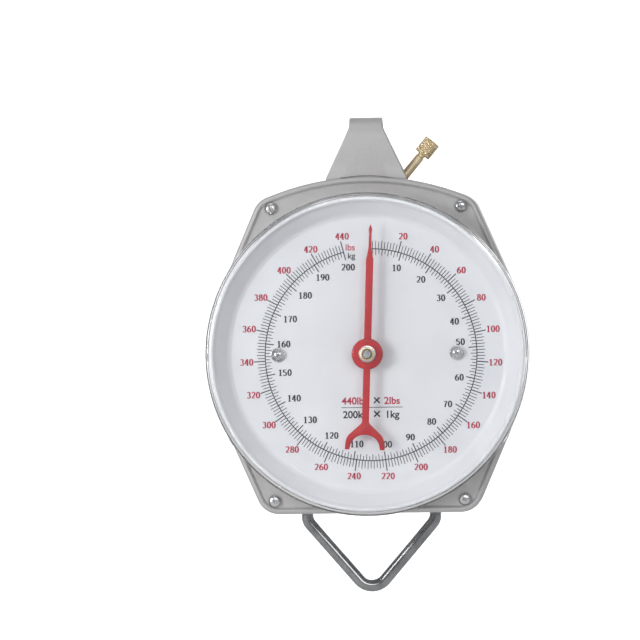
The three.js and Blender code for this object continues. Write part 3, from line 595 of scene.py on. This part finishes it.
def front_shell():
    """The pressed front of the case: a rolled rim, a flat face behind it, and its holes and slots."""
    rim = [
        (4.1, 1.5), (3.6, 1.42), (3.2, 1.15), (2.9, 0.7), (2.6, 0.28), (2.2, 0.05), (1.8, 0.0),
        (1.3, 0.12), (0.8, 0.5), (0.4, 1.1), (0.15, 1.9), (0, 3), (0, 34.3), (0.15, 34.5),
    ]
    dial_hole, bail_hole, zero_hole, dimple = 66 * MM, 4.4 * MM, 4.8 * MM, 3.5 * MM
    shell = case_body("front_shell_pressed", rim)
    inside = case_body("tool", [(3.4, 2.7), (1.9, 3.2), (1.2, 4.6), (1.2, 38)])
    opening = cylinder_tool(CENTRE, (0, 1, 0), dial_hole, -5 * MM, 6 * MM, 96)
    bail_ways = []
    for nut in ("bail_nut_left", "bail_nut_right"):
        place = Vector((middle(nut).x, CENTRE.y + LOAD_Y, shell_low.z))
        bail_ways.append(cylinder_tool(place, (0, 0, 1), bail_hole, -4 * MM, 4 * MM))
    zero_way = cylinder_tool(ZERO_PLACE, ZERO_AXIS, zero_hole, -8 * MM, 8 * MM)
    dimples = [
        cylinder_tool(at(x, FACE_Y, z), (0, 1, 0), dimple, -1.6 * MM, 0.5 * MM)
        for x in (-SCREW_X, SCREW_X) for z in (-SCREW_Z, SCREW_Z)
    ]
    cut(shell, inside, opening, *bail_ways, zero_way, *slot_tools(), strap_slit(), *dimples)
    stands_for(shell, "case", "case_paint", "front_shell")


def rear_shell():
    """A shallow lid whose inner wall slips inside the front shell, with a pressed panel in its back."""
    lid = case_body("rear_shell_pressed", [
        (1.5, 27), (1.5, 34.7), (0.6, 34.85), (0.6, 35.2), (0.75, 35.7), (1.2, 36.0), (13.0, 36.0),
        (13.6, 35.92), (14.2, 35.7), (15.6, 35.2), (16.2, 35.05), (16.8, 35.0),
    ])
    hollow = case_body("tool", [(2.7, 20), (2.7, 33.6)])
    slots = slot_tools()
    sink = in_mm([(0, -3), (2.3, -3), (2.3, -1.2), (3.6, 0), (3.6, 1), (0, 1)])
    holes = [
        lathe("tool", sink, at(middle("frame_screw_" + hand).x, BACK_Y, 0), PAINT, (0, 1, 0), 40)
        for hand in ("left", "right")
    ]
    cut(lid, hollow, *slots, *holes)
    stands_for(lid, "case", "case_paint", "rear_shell")


# ---- Fasteners ----
def cross_recess(place, outwards, size, depth):
    """Two crossing wedges that cut a Phillips recess into a head."""
    axis = Vector(outwards).normalized()
    first = axis.orthogonal().normalized()
    second = axis.cross(first)
    tools = []
    for along, across in ((first, second), (second, first)):
        corners = []
        for level, reach, width in ((-depth, 0.45, 0.10), (0.6 * depth, 1.25, 0.24)):
            for a, b in ((-1, -1), (1, -1), (1, 1), (-1, 1)):
                corners.append(place + axis * level + along * a * reach * size + across * b * width * size)
        faces = [(0, 1, 2, 3), (7, 6, 5, 4)] + [(i, (i + 1) % 4, 4 + (i + 1) % 4, 4 + i) for i in range(4)]
        tools.append(mesh_object("tool", corners, faces, ZINC))
    return tools


def pan_head(node, radius, height, length, shank, turn):
    """A Phillips pan-head screw in place of a CAD one, its sizes in millimetres."""
    forwards = Vector((0, -1, 0))
    seat = Vector((middle(node).x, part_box(node)[0].y + height * MM, middle(node).z))
    radius, height, length, shank = (size * MM for size in (radius, height, length, shank))
    dome = [(0, height)]
    for k in range(1, 7):
        angle = radians(90 - 15 * k)
        dome.append((radius * cos(angle) ** 0.8, height * (0.45 + 0.55 * sin(angle))))
    profile = dome + [(radius, 0.1 * height), (0.95 * radius, 0), (shank, 0), (shank, -length), (0, -length)]
    screw = lathe("phillips_" + node, profile, seat, ZINC, forwards, 32)
    recess = cross_recess(seat + forwards * height * 0.92, forwards, 0.42 * radius, 0.55 * height)
    cut(screw, *turned(recess, seat, turn, forwards))
    stands_for(screw, "case", "zinc_plate", node)


def sunk_head(node, turn):
    """A countersunk Phillips screw, flush with the back of the case."""
    low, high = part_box(node)
    top = Vector((middle(node).x, high.y, middle(node).z))
    length = high.y - low.y
    profile = in_mm([(0, 0), (2.8, 0), (3.0, -0.15), (1.55, -1.5)]) + [(1.55 * MM, -length), (0, -length)]
    screw = lathe("phillips_" + node, profile, top, ZINC, (0, 1, 0), 40)
    cut(screw, *turned(cross_recess(top, (0, 1, 0), 1.3 * MM, 0.9 * MM), top, turn, "Y"))
    stands_for(screw, "case", "zinc_plate", node)


def flat_washer(name, node, inner, outer, thick, edge, sides, body):
    """A plain washer in place of a CAD one, its radii and edge in millimetres."""
    profile = rounded(in_mm([(inner, 0), (outer, 0), (outer, thick), (inner, thick)]), *edge)
    place = Vector((middle(node).x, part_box(node)[0].y, middle(node).z))
    stands_for(lathe(name, profile, place, ZINC, (0, 1, 0), sides), body, "zinc_plate", node)


# Head radius, head height, length and shank radius in millimetres.
CASE_SCREW = (3.0, 2.2, 20, 1.5)
DIAL_SCREW = (2.5, 2, 6, 1.3)


def add_screws():
    for place, turn in (("upper_left", 0.5), ("upper_right", 0.9), ("lower_left", 0.2), ("lower_right", 1.2)):
        pan_head("case_screw_" + place, *CASE_SCREW, turn)
    for hand, turn in (("left", 0.35), ("right", 1.1)):
        pan_head("dial_screw_" + hand, *DIAL_SCREW, turn)
        flat_washer("flat_washer_" + hand, "dial_washer_" + hand, 1.7, 3.9, 0.7, (0.2 * MM,), 40, "case")
        sunk_head("frame_screw_" + hand, turn)


# ---- Hanger, bail and springs ----
def strap_relief():
    """A shallow crescent in the strap's front, where the strap enters the case."""
    half, crown, foot, rise, depth = 16.5 * MM, CASE_TOP + 0.75 * MM, CASE_TOP - 4 * MM, 1.8 * MM, 1.7 * MM
    sides = 24
    shares = [2 * k / sides - 1 for k in range(sides + 1)]
    outline = [(half * share, crown - rise * share ** 2) for share in shares] + [(half, foot), (-half, foot)]
    front = strap_low.y - CENTRE.y
    return prism("tool", outline, front - 1 * MM, front + depth, PAINT)


def hanger_strap():
    """The folded strap: a sheet that follows a U in side view and narrows towards its fold."""
    mid_y = (strap_low.y + strap_high.y) / 2
    outer = (strap_high.y - strap_low.y) / 2
    bend = outer - STRAP_SHEET / 2
    fold_z = strap_high.z - outer
    neck_half, neck_z = 8.7 * MM, CENTRE.z + 119 * MM
    wide_half, wide_z = strap_high.x, CENTRE.z + 92.5 * MM

    def half_width(z):
        share = min(1, max(0, (z - wide_z) / (neck_z - wide_z)))
        return wide_half + (neck_half - wide_half) * share

    heights = [strap_low.z, CENTRE.z + 70 * MM, wide_z - 0.2 * MM, wide_z + 0.2 * MM]
    heights += [CENTRE.z + 102 * MM, fold_z]
    spine = [(mid_y - bend, z) for z in heights]
    steps = 28
    for k in range(1, steps):
        angle = pi - pi * k / steps
        spine.append((mid_y + bend * cos(angle), fold_z + bend * sin(angle)))
    spine += [(mid_y + bend, z) for z in reversed(heights)]
    across = (-1, -0.5, 0, 0.5, 1)
    vertices = [(half_width(z) * share, y, z) for y, z in spine for share in across]
    wide = len(across)
    faces = []
    for i in range(len(spine) - 1):
        for k in range(wide - 1):
            faces.append((i * wide + k, i * wide + k + 1, (i + 1) * wide + k + 1, (i + 1) * wide + k))
    strap = mesh_object("hanger_strap_folded", vertices, faces, PAINT)
    thick = strap.modifiers.new("thick", "SOLIDIFY")
    thick.thickness = STRAP_SHEET
    thick.offset = 0
    apply_modifiers(strap)
    bevelled(strap, 0.45 * MM, 3)
    cut(strap, strap_relief())
    strap.data.set_sharp_from_angle(angle=radians(CRISP_DEG))
    stands_for(strap, "case", "case_paint", "hanger_strap")


def bail_path():
    """The middle line of the bail's wire from its left end to its right one, and the wire's radius."""
    wire = (bail_high.y - bail_low.y) / 2
    leg = bail_high.x - wire
    tip = bail_low.z + wire
    half_angle = radians(40.65)
    tip_radius, shoulder_radius, leg_steps = 9 * MM, 7 * MM, 6
    sharp_tip = tip - tip_radius * (1 / sin(half_angle) - 1)
    corner_z = sharp_tip + leg / tan(half_angle)
    right_leg, left_leg = Vector((leg, corner_z)), Vector((-leg, corner_z))
    down, upwards = Vector((0, sharp_tip)), Vector((0, 1))
    rises = [corner_z + (bail_high.z - corner_z) * k / leg_steps for k in range(1, leg_steps + 1)]
    outline = [Vector((-leg, z)) for z in reversed(rises)]
    outline += fillet(left_leg, upwards, (down - left_leg).normalized(), shoulder_radius, 10)
    outline += fillet(down, (left_leg - down).normalized(), (right_leg - down).normalized(), tip_radius, 16)
    outline += fillet(right_leg, (down - right_leg).normalized(), upwards, shoulder_radius, 10)
    outline += [Vector((leg, z)) for z in rises]
    y = (bail_low.y + bail_high.y) / 2
    return [Vector((p.x, y, p.y)) for p in outline], wire


def bail():
    path, wire = bail_path()
    vertices, faces = tube_data(path, wire, 28)
    # The wire takes the darkened zinc: painted shade for the dark surroundings it reflects.
    made = mesh_object("bail_bent_wire", vertices, faces, SHADED_WIRE)
    bevelled(made, 0.5 * MM, 2, 60)
    stands_for(made, "load_carriage", "zinc_plate", "bail")


def spring(hand):
    """A close extension spring with a hook at each end, between the case and the carriage."""
    centre = middle("spring_" + hand)
    upper = middle("spring_pin_upper_" + hand).z
    lower = middle("spring_pin_lower_" + hand).z
    wire, radius, hook, inset = 2.4 * MM, 11 * MM, 6.0 * MM, 9 * MM
    turns, round_steps, hook_steps = 14, 24, 12
    top, bottom = (Vector((centre.x, centre.y, z)) for z in (upper - inset, lower + inset))

    def hook_points(z, way):
        angles = [radians(50 - 230 * k / hook_steps) for k in range(hook_steps + 1)]
        return [Vector((centre.x + hook * cos(a), centre.y, z + way * hook * sin(a))) for a in angles]

    path = hook_points(lower, 1) + [bottom + Vector((-8.8, -0.8, -3)) * MM]
    steps = turns * round_steps
    for k in range(steps + 1):
        angle = pi + 2 * pi * k / round_steps
        out = Vector((cos(angle), sin(angle), 0)) * radius
        path.append(bottom + (top - bottom) * k / steps + out)
    path += [top + Vector((-8.8, 0.8, 3)) * MM] + hook_points(upper, -1)[::-1]
    vertices, faces = tube_data(path, wire, 10)
    made = mesh_object("coil_spring_" + hand, vertices, faces, STEEL)
    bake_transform(made)
    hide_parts("spring_" + hand)


# ---- Dial, its print and the cover ----
DIAL_Y = pan_high.y - CENTRE.y - 1.2 * MM
PRINT_BACK = DIAL_Y - 0.01 * MM
PRINT_FRONT = DIAL_Y - 0.06 * MM
PRINT_X, PRINT_Z = 1.75 * MM, -0.5 * MM  # the print sits a little off the shaft
SPAN = radians(345.75)
ARC_RADIUS = 55.7 * MM


def dial_pan():
    profile = rounded(in_mm([
        (6.0, 0), (71.8, 0), (73.8, -0.9), (79.7, -6.9), (80.9, -9.4), (82.0, -9.8), (83.0, -9.4),
        (83.0, -8.4), (81.8, -7.8), (74.4, 1.1), (6.0, 1.2),
    ]), 0.8 * MM)
    pan = lathe("dial_pan_enamelled", profile, at(0, DIAL_Y, 0), WHITE, (0, 1, 0), 144)
    holes = [
        cylinder_tool(at(middle("dial_screw_" + hand).x, DIAL_Y, 0), (0, 1, 0), 1.9 * MM, -2 * MM, 3 * MM, 24)
        for hand in ("left", "right")
    ]
    cut(pan, *holes)
    stands_for(pan, "case", "dial_white", "dial_pan")


def clear_cover():
    radius = (cover_high.x - cover_low.x) / 2
    depth = cover_high.y - cover_low.y
    wall, disc = 1.4 * MM, 1.5 * MM
    soft = [
        (0, 0), (radius - 3 * MM, 0), (radius - 1.2 * MM, 0.35 * MM), (radius - 0.35 * MM, 1.2 * MM),
        (radius, 2.6 * MM), (radius, depth), (radius - wall, depth), (radius - wall, disc + 1.2 * MM),
        (radius - wall - 1.0 * MM, disc + 0.2 * MM), (radius - wall - 2.2 * MM, disc), (0, disc),
    ]
    place = Vector((CENTRE.x, cover_low.y, CENTRE.z))
    cover = lathe("clear_cover_moulded", rounded(soft, 0.5 * MM, 3), place, CLEAR, (0, 1, 0), 160)
    stands_for(cover, "case", "clear_plastic", "clear_cover")
    lug_angle = radians(122)
    for hand, angle in (("left", -lug_angle), ("right", lug_angle)):
        cover_lug(hand, angle, radius)


def cover_lug(hand, angle, radius):
    """A small lug on the cover's edge, at an angle clockwise from the top."""
    lug = slab("cover_lug_" + hand, Vector((-2.4, 0, -0.1)) * MM, Vector((2.4, 3.0, 0.85)) * MM, CLEAR)
    seat = Vector((CENTRE.x, cover_high.y - 3.5 * MM, CENTRE.z))
    place = seat + Vector((sin(angle), 0, cos(angle))) * radius
    lug.data.transform(Matrix.Translation(place) @ Matrix.Rotation(angle, 4, "Y"))
    bevelled(lug, 0.35 * MM, 2)
    stands_for(lug, "case", "clear_plastic")


class Print:
    """Collects thin flat shapes of one ink into one mesh."""

    def __init__(self):
        self.vertices = []
        self.faces = []

    def strip(self, left, right):
        """A ribbon between two lines of (x, z) points."""
        start = len(self.vertices)
        end = start + 4 * (len(left) - 1)
        for (a, b), (c, d) in zip(left, right):
            for x, z in ((a, b), (c, d)):
                self.vertices.append(at(x + PRINT_X, PRINT_FRONT, z + PRINT_Z))
                self.vertices.append(at(x + PRINT_X, PRINT_BACK, z + PRINT_Z))
        for p in range(start, end, 4):
            q = p + 4
            self.faces += [(p, q, q + 2, p + 2), (p + 1, p + 3, q + 3, q + 1)]
            self.faces += [(p, p + 1, q + 1, q), (p + 2, q + 2, q + 3, p + 3)]
        self.faces += [(start, start + 2, start + 3, start + 1), (end, end + 1, end + 3, end + 2)]

    def tick(self, angle, inner, outer, width):
        along = (sin(angle), cos(angle))
        across = (cos(angle) * width / 2, -sin(angle) * width / 2)
        ends = [(along[0] * r, along[1] * r) for r in (inner, outer)]
        left = [(x - across[0], z - across[1]) for x, z in ends]
        right = [(x + across[0], z + across[1]) for x, z in ends]
        self.strip(left, right)

    def made(self, name, ink):
        thing = mesh_object(name, self.vertices, self.faces, ink, 30)
        stands_for(thing, "case", "dial_white")


def arc(cx, cz, rx, rz, start, end, steps=14):
    points = []
    for k in range(steps + 1):
        angle = radians(start + (end - start) * k / steps)
        points.append((cx + rx * cos(angle), cz + rz * sin(angle)))
    return points


SIX = [arc(0.27, 0.31, 0.19, 0.27, 0, 360, 22), arc(0.50, 0.36, 0.42, 0.59, 100, 178)]
# Pen strokes of each digit in a box one high, thick where they run upright and thin where they run level.
DIGITS = {
    "0": [arc(0.27, 0.5, 0.19, 0.46, 0, 360, 26)],
    "1": [
        [(0.27, 0.02), (0.27, 0.98)], [(0.27, 0.94), (0.18, 0.86), (0.09, 0.83)],
        [(0.08, 0.03), (0.46, 0.03)],
    ],
    "2": [
        arc(0.26, 0.73, 0.18, 0.23, 160, -25) + [(0.33, 0.42), (0.16, 0.2), (0.07, 0.07)],
        [(0.05, 0.07), (0.47, 0.07)],
    ],
    "3": [arc(0.25, 0.75, 0.16, 0.21, 155, -90), arc(0.25, 0.28, 0.19, 0.25, 90, -155)],
    "4": [
        [(0.36, 0.02), (0.36, 0.98)], [(0.34, 0.97), (0.04, 0.3)],
        [(0.02, 0.29), (0.52, 0.29)], [(0.24, 0.03), (0.48, 0.03)],
    ],
    "5": [[(0.10, 0.92), (0.45, 0.92)], [(0.11, 0.94), (0.09, 0.52)], arc(0.25, 0.32, 0.19, 0.28, 135, -155)],
    "6": SIX,
    "7": [[(0.05, 0.92), (0.48, 0.92)], [(0.47, 0.92), (0.30, 0.5), (0.22, 0.02)]],
    "8": [arc(0.27, 0.75, 0.15, 0.20, 0, 360, 20), arc(0.27, 0.28, 0.19, 0.25, 0, 360, 22)],
    "9": [[(0.54 - x, 1 - z) for x, z in stroke] for stroke in SIX],
}
DIGIT_WIDTH = 0.63
DIGIT_STRETCH = DIGIT_WIDTH / 0.54
DIGIT_ADVANCE = 0.70
DIGIT_HEIGHT = 3.45 * MM
POUNDS, KILOS = 440, 200
LINE, FINE, BROAD = 0.48 * MM, 0.38 * MM, 0.56 * MM
# Radii in millimetres where the ticks end: at a number, at an even step and at an odd step.
POUND_TICKS = (61.7, 60.1, 59.6)
KILO_TICKS = (51.4, 52.4, 53.3)
# Millimetres by which some kilogram numbers are printed off their row.
NUDGES = {
    60: (0.4, -1.2), 70: (-0.5, -1.9), 90: (0.6, -0.3), 100: (1.0, 0), 180: (0.6, 0.3), 190: (-0.7, 0.4),
}


def pen_stroke(ink, points, place, height, thin=0.05, thick=0.115):
    """One stroke of a digit, with the width of a pointed pen."""
    left, right = [], []
    count = len(points)
    for i, (x, z) in enumerate(points):
        ahead = points[min(i + 1, count - 1)]
        behind = points[max(i - 1, 0)]
        closed = (Vector(points[0]) - Vector(points[-1])).length < 1e-6
        if closed and i in (0, count - 1):
            ahead, behind = points[1], points[-2]
        dx, dz = ahead[0] - behind[0], ahead[1] - behind[1]
        length = sqrt(dx * dx + dz * dz)
        half = thin + (thick - thin) * (abs(dz) / length) ** 1.6
        nx, nz = -dz / length * half, dx / length * half
        x *= DIGIT_STRETCH
        left.append((place[0] + (x + nx) * height, place[1] + (z + nz) * height))
        right.append((place[0] + (x - nx) * height, place[1] + (z - nz) * height))
    ink.strip(left, right)


def write_number(ink, number, x, z):
    text = str(number)
    width = (len(text) - 1) * DIGIT_ADVANCE + DIGIT_WIDTH
    x -= width * DIGIT_HEIGHT / 2
    for digit in text:
        for points in DIGITS[digit]:
            pen_stroke(ink, points, (x, z - DIGIT_HEIGHT / 2), DIGIT_HEIGHT)
        x += DIGIT_ADVANCE * DIGIT_HEIGHT


def ticks(ink, total, step, every, ends):
    for value in range(0, total + 1, step):
        major = value % every == 0
        end = ends[0] if major else (ends[1] if value % (2 * step) == 0 else ends[2])
        inner, outer = sorted((ARC_RADIUS, end * MM))
        ink.tick(SPAN * value / total, inner, outer, BROAD if major else FINE)


def dial_print():
    """The scale: an arc with pound ticks outside and kilogram ticks inside, their numbers, and a rule."""
    black, red = Print(), Print()
    steps = 230
    angles = [SPAN * k / steps for k in range(steps + 1)]
    edges = (ARC_RADIUS + LINE / 2, ARC_RADIUS - LINE / 2)
    black.strip(*([(r * sin(a), r * cos(a)) for a in angles] for r in edges))
    ticks(black, POUNDS, 2, 20, POUND_TICKS)
    ticks(black, KILOS, 1, 10, KILO_TICKS)
    for pound in range(20, POUNDS + 1, 20):
        angle = SPAN * pound / POUNDS
        nearer = 1.8 * MM if 1.7 * pi < angle else 0
        write_number(red, pound, 65.6 * MM * sin(angle) + nearer, 64.4 * MM * cos(angle))
    clear_of_screws = 6.2 * MM
    for kilo in range(10, KILOS + 1, 10):
        angle = SPAN * kilo / KILOS
        across = (47.2 if angle < pi else 46.2) * MM * sin(angle)
        upwards = 47.6 * MM * cos(angle)
        if 0 < upwards < clear_of_screws:
            upwards = clear_of_screws
        dx, dz = NUDGES.get(kilo, (0, 0))
        write_number(black, kilo, across + dx * MM, upwards + dz * MM)
    rule = in_mm([(-16, -27.5), (16.3, -27.5)])
    black.strip(rule, [(x, z - 0.35 * MM) for x, z in rule])
    black.made("dial_print_black", BLACK_INK)
    red.made("dial_print_red", RED_INK)


def printed_words(name, text, ink, x, z, height, weight=0.12):
    """Plain unit words on the dial, in the built-in letter shapes. Sizes are in millimetres."""
    thick = 0.025 * MM
    curve = bpy.data.curves.new(name, "FONT")
    curve.body = text
    curve.size = height * MM / 0.72
    curve.extrude = thick
    curve.offset = weight * MM
    curve.align_x = curve.align_y = "CENTER"
    thing = new_object(name, curve)
    bpy.context.view_layer.update()
    mesh = bpy.data.meshes.new_from_object(thing.evaluated_get(bpy.context.evaluated_depsgraph_get()))
    bpy.data.objects.remove(thing)
    place = at(x * MM + PRINT_X, PRINT_BACK - thick, z * MM + PRINT_Z)
    mesh.transform(Matrix.Translation(place) @ Matrix.Rotation(pi / 2, 4, "X"))
    mesh.materials.clear()
    mesh.materials.append(ink)
    stands_for(new_object(name, mesh), "case", "dial_white")


def dial_words():
    rows = (("pounds", "440lbs", "2lbs", RED_INK, -24.4), ("kilos", "200kg", "1kg", BLACK_INK, -31.6))
    for unit, full, step, ink, z in rows:
        printed_words("words_full_" + unit, full, ink, -8.9, z, 3.8)
        printed_words("words_step_" + unit, step, ink, 10.7, z, 3.8)
        printed_words("words_times_" + unit, "×", BLACK_INK, 2.7, z, 5.8, 0.05)
    printed_words("words_pounds", "lbs", RED_INK, -10.2, 56.4, 3.4, 0.06)
    printed_words("words_kilos", "kg", BLACK_INK, -9.6, 52.0, 3.2, 0.06)


# ---- Pointer ----
POINTER_TURN = radians(2.3)


def bezier(start, first, second, end, steps=8):
    points = []
    for k in range(1, steps + 1):
        t = k / steps
        weights = ((1 - t) ** 3, 3 * t * (1 - t) ** 2, 3 * t * t * (1 - t), t ** 3)
        pulls = list(zip(weights, (start, first, second, end)))
        points.append(tuple(sum(weight * p[i] for weight, p in pulls) for i in (0, 1)))
    return points


def pointer_half():
    """The right side of the pointer from its tip down to the crotch of its tail, in millimetres."""
    half = [(0, 68.2), (0.5, 66.9)]
    half += bezier((0.5, 66.9), (0.95, 65.8), (0.95, 64.6), (0.62, 63.5), 6)
    half += [(0.8, 55.7), (1.95, 49.5), (1.95, 9.0), (1.85, -9.0), (1.85, -35.2)]
    half += bezier((1.85, -35.2), (1.85, -36.4), (2.4, -36.8), (3.2, -37.5), 4)
    half += [(8.3, -42.3)]
    half += bezier((8.3, -42.3), (9.9, -43.9), (10.4, -46.0), (10.5, -50.3), 8)
    half += [(8.0, -50.3)]
    half += bezier((8.0, -50.3), (7.7, -45.6), (4.7, -42.5), (0, -42.5), 12)
    return half


def turned_about_shaft(thing):
    """Brings a pointer piece that was drawn straight up to the angle it rests at."""
    return turned([thing], CENTRE, POINTER_TURN, "Y")[0]


def pointer():
    low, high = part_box("pointer")
    mid = (low.y + high.y) / 2 - CENTRE.y
    half_thick, bore_radius = 0.5 * MM, 2.2 * MM
    right = pointer_half()
    outline = in_mm(right + [(-x, z) for x, z in reversed(right[1:-1])])
    blade = prism("pointer_blade", outline, mid - half_thick, mid + half_thick, RED)
    bevelled(blade, 0.28 * MM, 3, 50)
    hub_profile = rounded(in_mm([(2.2, -1), (7.4, -1), (8.2, -0.4), (8.2, 1), (2.2, 1)]), 0.3 * MM, 3)
    hub = lathe("pointer_hub", hub_profile, at(0, mid, 0), RED, (0, 1, 0), 72)
    combine(blade, "UNION", hub)
    bore = cylinder_tool(at(0, mid, 0), (0, 1, 0), bore_radius, -3 * MM, 3 * MM, 32)
    cut(turned_about_shaft(blade), bore)
    stands_for(blade, "pointer", "pointer_red", "pointer")
    flat_washer("shaft_washer", "pointer_washer", 2.2, 4.4, 0.6, (0.15 * MM, 2), 48, "pointer")
    shaft_nut()
    shaft()


def shaft_nut():
    """A hexagon nut with a sunk face."""
    low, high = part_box("pointer_nut")
    front, back = low.y - CENTRE.y, high.y - CENTRE.y
    reach = 3.5 * MM / cos(pi / 6)
    corners = [(reach * cos(k * pi / 3), reach * sin(k * pi / 3)) for k in range(6)]
    nut = prism("shaft_nut", corners, front, back, BRASS)
    bevelled(nut, 0.3 * MM, 2)
    sink = in_mm([(0, -1), (3.0, -1), (2.9, 0), (2.1, 1.1), (2.1, 6), (0, 6)])
    bore = lathe("tool", sink, at(0, front, 0), BRASS, (0, 1, 0), 32)
    cut(turned_about_shaft(nut), bore)
    stands_for(nut, "pointer", "brass", "pointer_nut")


def shaft():
    """The pointer's arbor: a threaded nose, a shoulder behind the pointer and a plain journal."""
    low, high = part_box("pointer_shaft")
    front, back = (low.y - CENTRE.y) / MM, (high.y - CENTRE.y) / MM
    crest, root, pitch, thread_end = 1.98, 1.74, 0.62, -7.6
    profile = [(0, front), (1.5, front), (1.75, front + 0.3)]
    y = front + 0.5
    while y < thread_end:
        profile += [(crest, y), (crest, y + 0.12), (root, y + 0.32), (root, y + 0.42)]
        y += pitch
    profile += [(crest, -7.2), (crest, -6.9), (3.1, -6.9), (3.2, -6.8), (3.2, 0.8), (3.1, 0.9), (2.0, 0.9)]
    profile += [(2.0, back), (0, back)]
    made = lathe("pointer_arbor", in_mm(profile), CENTRE, ZINC, (0, 1, 0), 36)
    stands_for(made, "pointer", "zinc_plate", "pointer_shaft")


# ---- Zero screw ----
def zero_screw():
    """The brass thumbscrew: a diamond-knurled head, a neck and a threaded stem."""
    head, start, end, chamfer = ZERO_HEAD_RADIUS, ZERO_HEAD_START, ZERO_HEAD_END, ZERO_HEAD_CHAMFER
    stem, neck, pitch, thread_end, tail = 2.35, 2.0, 0.8, -21, -22
    sides, rings, starts, crossings, knurl_depth = 144, 26, 18, 5.5, 0.55 * MM
    profile = [(0, end), (head - chamfer, end), (head - 0.15, end - 0.3)]
    knurl_from = len(profile)
    profile += [(head, end - 0.4 - (end - start - 0.8) * k / rings) for k in range(rings + 1)]
    knurl_to = len(profile) - 1
    profile += [(head - 0.15, start + 0.3), (head - chamfer, start), (neck, start), (neck, start - 1.2)]
    profile += [(stem, start - 1.6), (stem, 2.0)]
    z = 1.6
    while z > thread_end:
        profile += [(stem, z), (stem, z - 0.15), (stem - 0.32, z - 0.4), (stem - 0.32, z - 0.55)]
        z -= pitch
    profile += [(stem - 0.5, tail), (0, tail)]

    def wave(turns):
        return abs(2 * (turns % 1) - 1)

    def modulate(radius, index, k):
        if not knurl_from <= index <= knurl_to:
            return radius
        round_way = k * starts / sides
        along = (index - knurl_from) * crossings / rings
        pyramid = min(wave(round_way + along), wave(round_way - along))
        return radius - knurl_depth * (1 - pyramid)

    made = lathe("zero_thumbscrew", in_mm(profile), ZERO_PLACE, BRASS, ZERO_AXIS, sides, modulate)
    made.data.set_sharp_from_angle(angle=radians(CRISP_DEG))
    stands_for(made, "zero_screw", "brass", "zero_screw")


# ---- Stage ----
def stage():
    """A pale floor that bends up into a far wall and glows with distance."""
    floor_z = cad_box[0][2] - 0.16
    half_width, near_y, wall_y, bend, wall_height, bend_steps = 6, -5.0, 5.5, 1.0, 4, 24
    glow_from, glow_to = 1.0, 2.2
    profile = [(near_y, floor_z), (0.5, floor_z), (wall_y - bend, floor_z)]
    for k in range(1, bend_steps + 1):
        angle = pi / 2 * k / bend_steps
        profile.append((wall_y - bend + bend * sin(angle), floor_z + bend - bend * cos(angle)))
    profile.append((wall_y, floor_z + wall_height))
    vertices = [(x, y, z) for x in (-half_width, half_width) for y, z in profile]
    count = len(profile)
    faces = [(i, i + 1, count + i + 1, count + i) for i in range(count - 1)]
    work = Nodes("stage_pale")
    work.link(work.ramp(work.noise(0.4, 2.0), [(0.3, grey(0.58)), (0.7, grey(0.63))]), "Base Color")
    depth = work.add("SeparateXYZ", {"Vector": work.place}).outputs["Y"]
    work.link(work.range(depth, 0.15, 1.0, glow_from, glow_to), "Emission Strength")
    work.set(Roughness=0.8, Emission_Color=(1, 1, 1, 1))
    sweep = mesh_object("stage_sweep", vertices, faces, work.material, 60)


# Name, place, size in metres and power in watts of each lamp. They all face the dial.
LAMPS = (
    ("key_left", (-1.4, -1.35, 0.02), (0.3, 0.3), 5.0),
    ("near_left", (-0.42, -0.42, -0.02), (0.2, 0.2), 0.85),
    ("front_soft", (0.45, -2.0, 0.5), (1.6, 0.6), 7.6),
    ("top_soft", (-0.2, -0.4, 1.3), (1.2, 0.8), 3.2),
    ("back_soft", (0.5, 1.6, 0.8), (0.8, 0.8), 5),
)
ROOM_COLOUR, ROOM_STRENGTH = (0.93, 0.95, 1, 1), 0.3


def area_light(name, place, size, power):
    data = bpy.data.lights.new(name, "AREA")
    data.shape = "RECTANGLE"
    data.size, data.size_y = size
    data.energy = power
    lamp = new_object(name, data)
    lamp.location = place
    lamp.rotation_euler = (CENTRE - Vector(place)).to_track_quat("-Z", "Y").to_euler()


def lights():
    for lamp in LAMPS:
        area_light(*lamp)
    world = bpy.data.worlds.new("soft_room")
    world.use_nodes = True
    background = world.node_tree.nodes["Background"].inputs
    background["Color"].default_value = ROOM_COLOUR
    background["Strength"].default_value = ROOM_STRENGTH
    scene = bpy.context.scene
    scene.world = world
    scene.view_settings.view_transform = "Standard"
    scene.view_settings.look = "None"


# The viewpoint: a long lens slightly to the right of and above the dial, tipped by about one degree.
CAMERA = {
    "azimuth": 2.59, "elevation": 0.56, "distance": 4.0, "roll": 0.81, "sensor_mm": 36, "lens_mm": 427.725,
}
AIM = Vector((-0.0249, -0.020, -0.1039))


def camera():
    azimuth, elevation = radians(CAMERA["azimuth"]), radians(CAMERA["elevation"])
    back = Vector((sin(azimuth) * cos(elevation), -cos(azimuth) * cos(elevation), sin(elevation)))
    right = Vector((cos(azimuth), sin(azimuth), 0))
    up = back.cross(right)
    roll = radians(CAMERA["roll"])
    right, up = right * cos(roll) - up * sin(roll), right * sin(roll) + up * cos(roll)
    data = bpy.data.cameras.new("camera")
    data.sensor_width = CAMERA["sensor_mm"]
    data.lens = CAMERA["lens_mm"]
    data.clip_end = 50
    thing = new_object("camera", data)
    place = AIM + back * CAMERA["distance"]
    thing.matrix_world = Matrix.Translation(place) @ Matrix((right, up, back)).transposed().to_4x4()
    bpy.context.scene.camera = thing


camera()
finish_cad_nodes()
front_shell()
rear_shell()
add_screws()
hanger_strap()
bail()
spring("left")
spring("right")
dial_pan()
dial_print()
dial_words()
clear_cover()
pointer()
zero_screw()
stage()
lights()
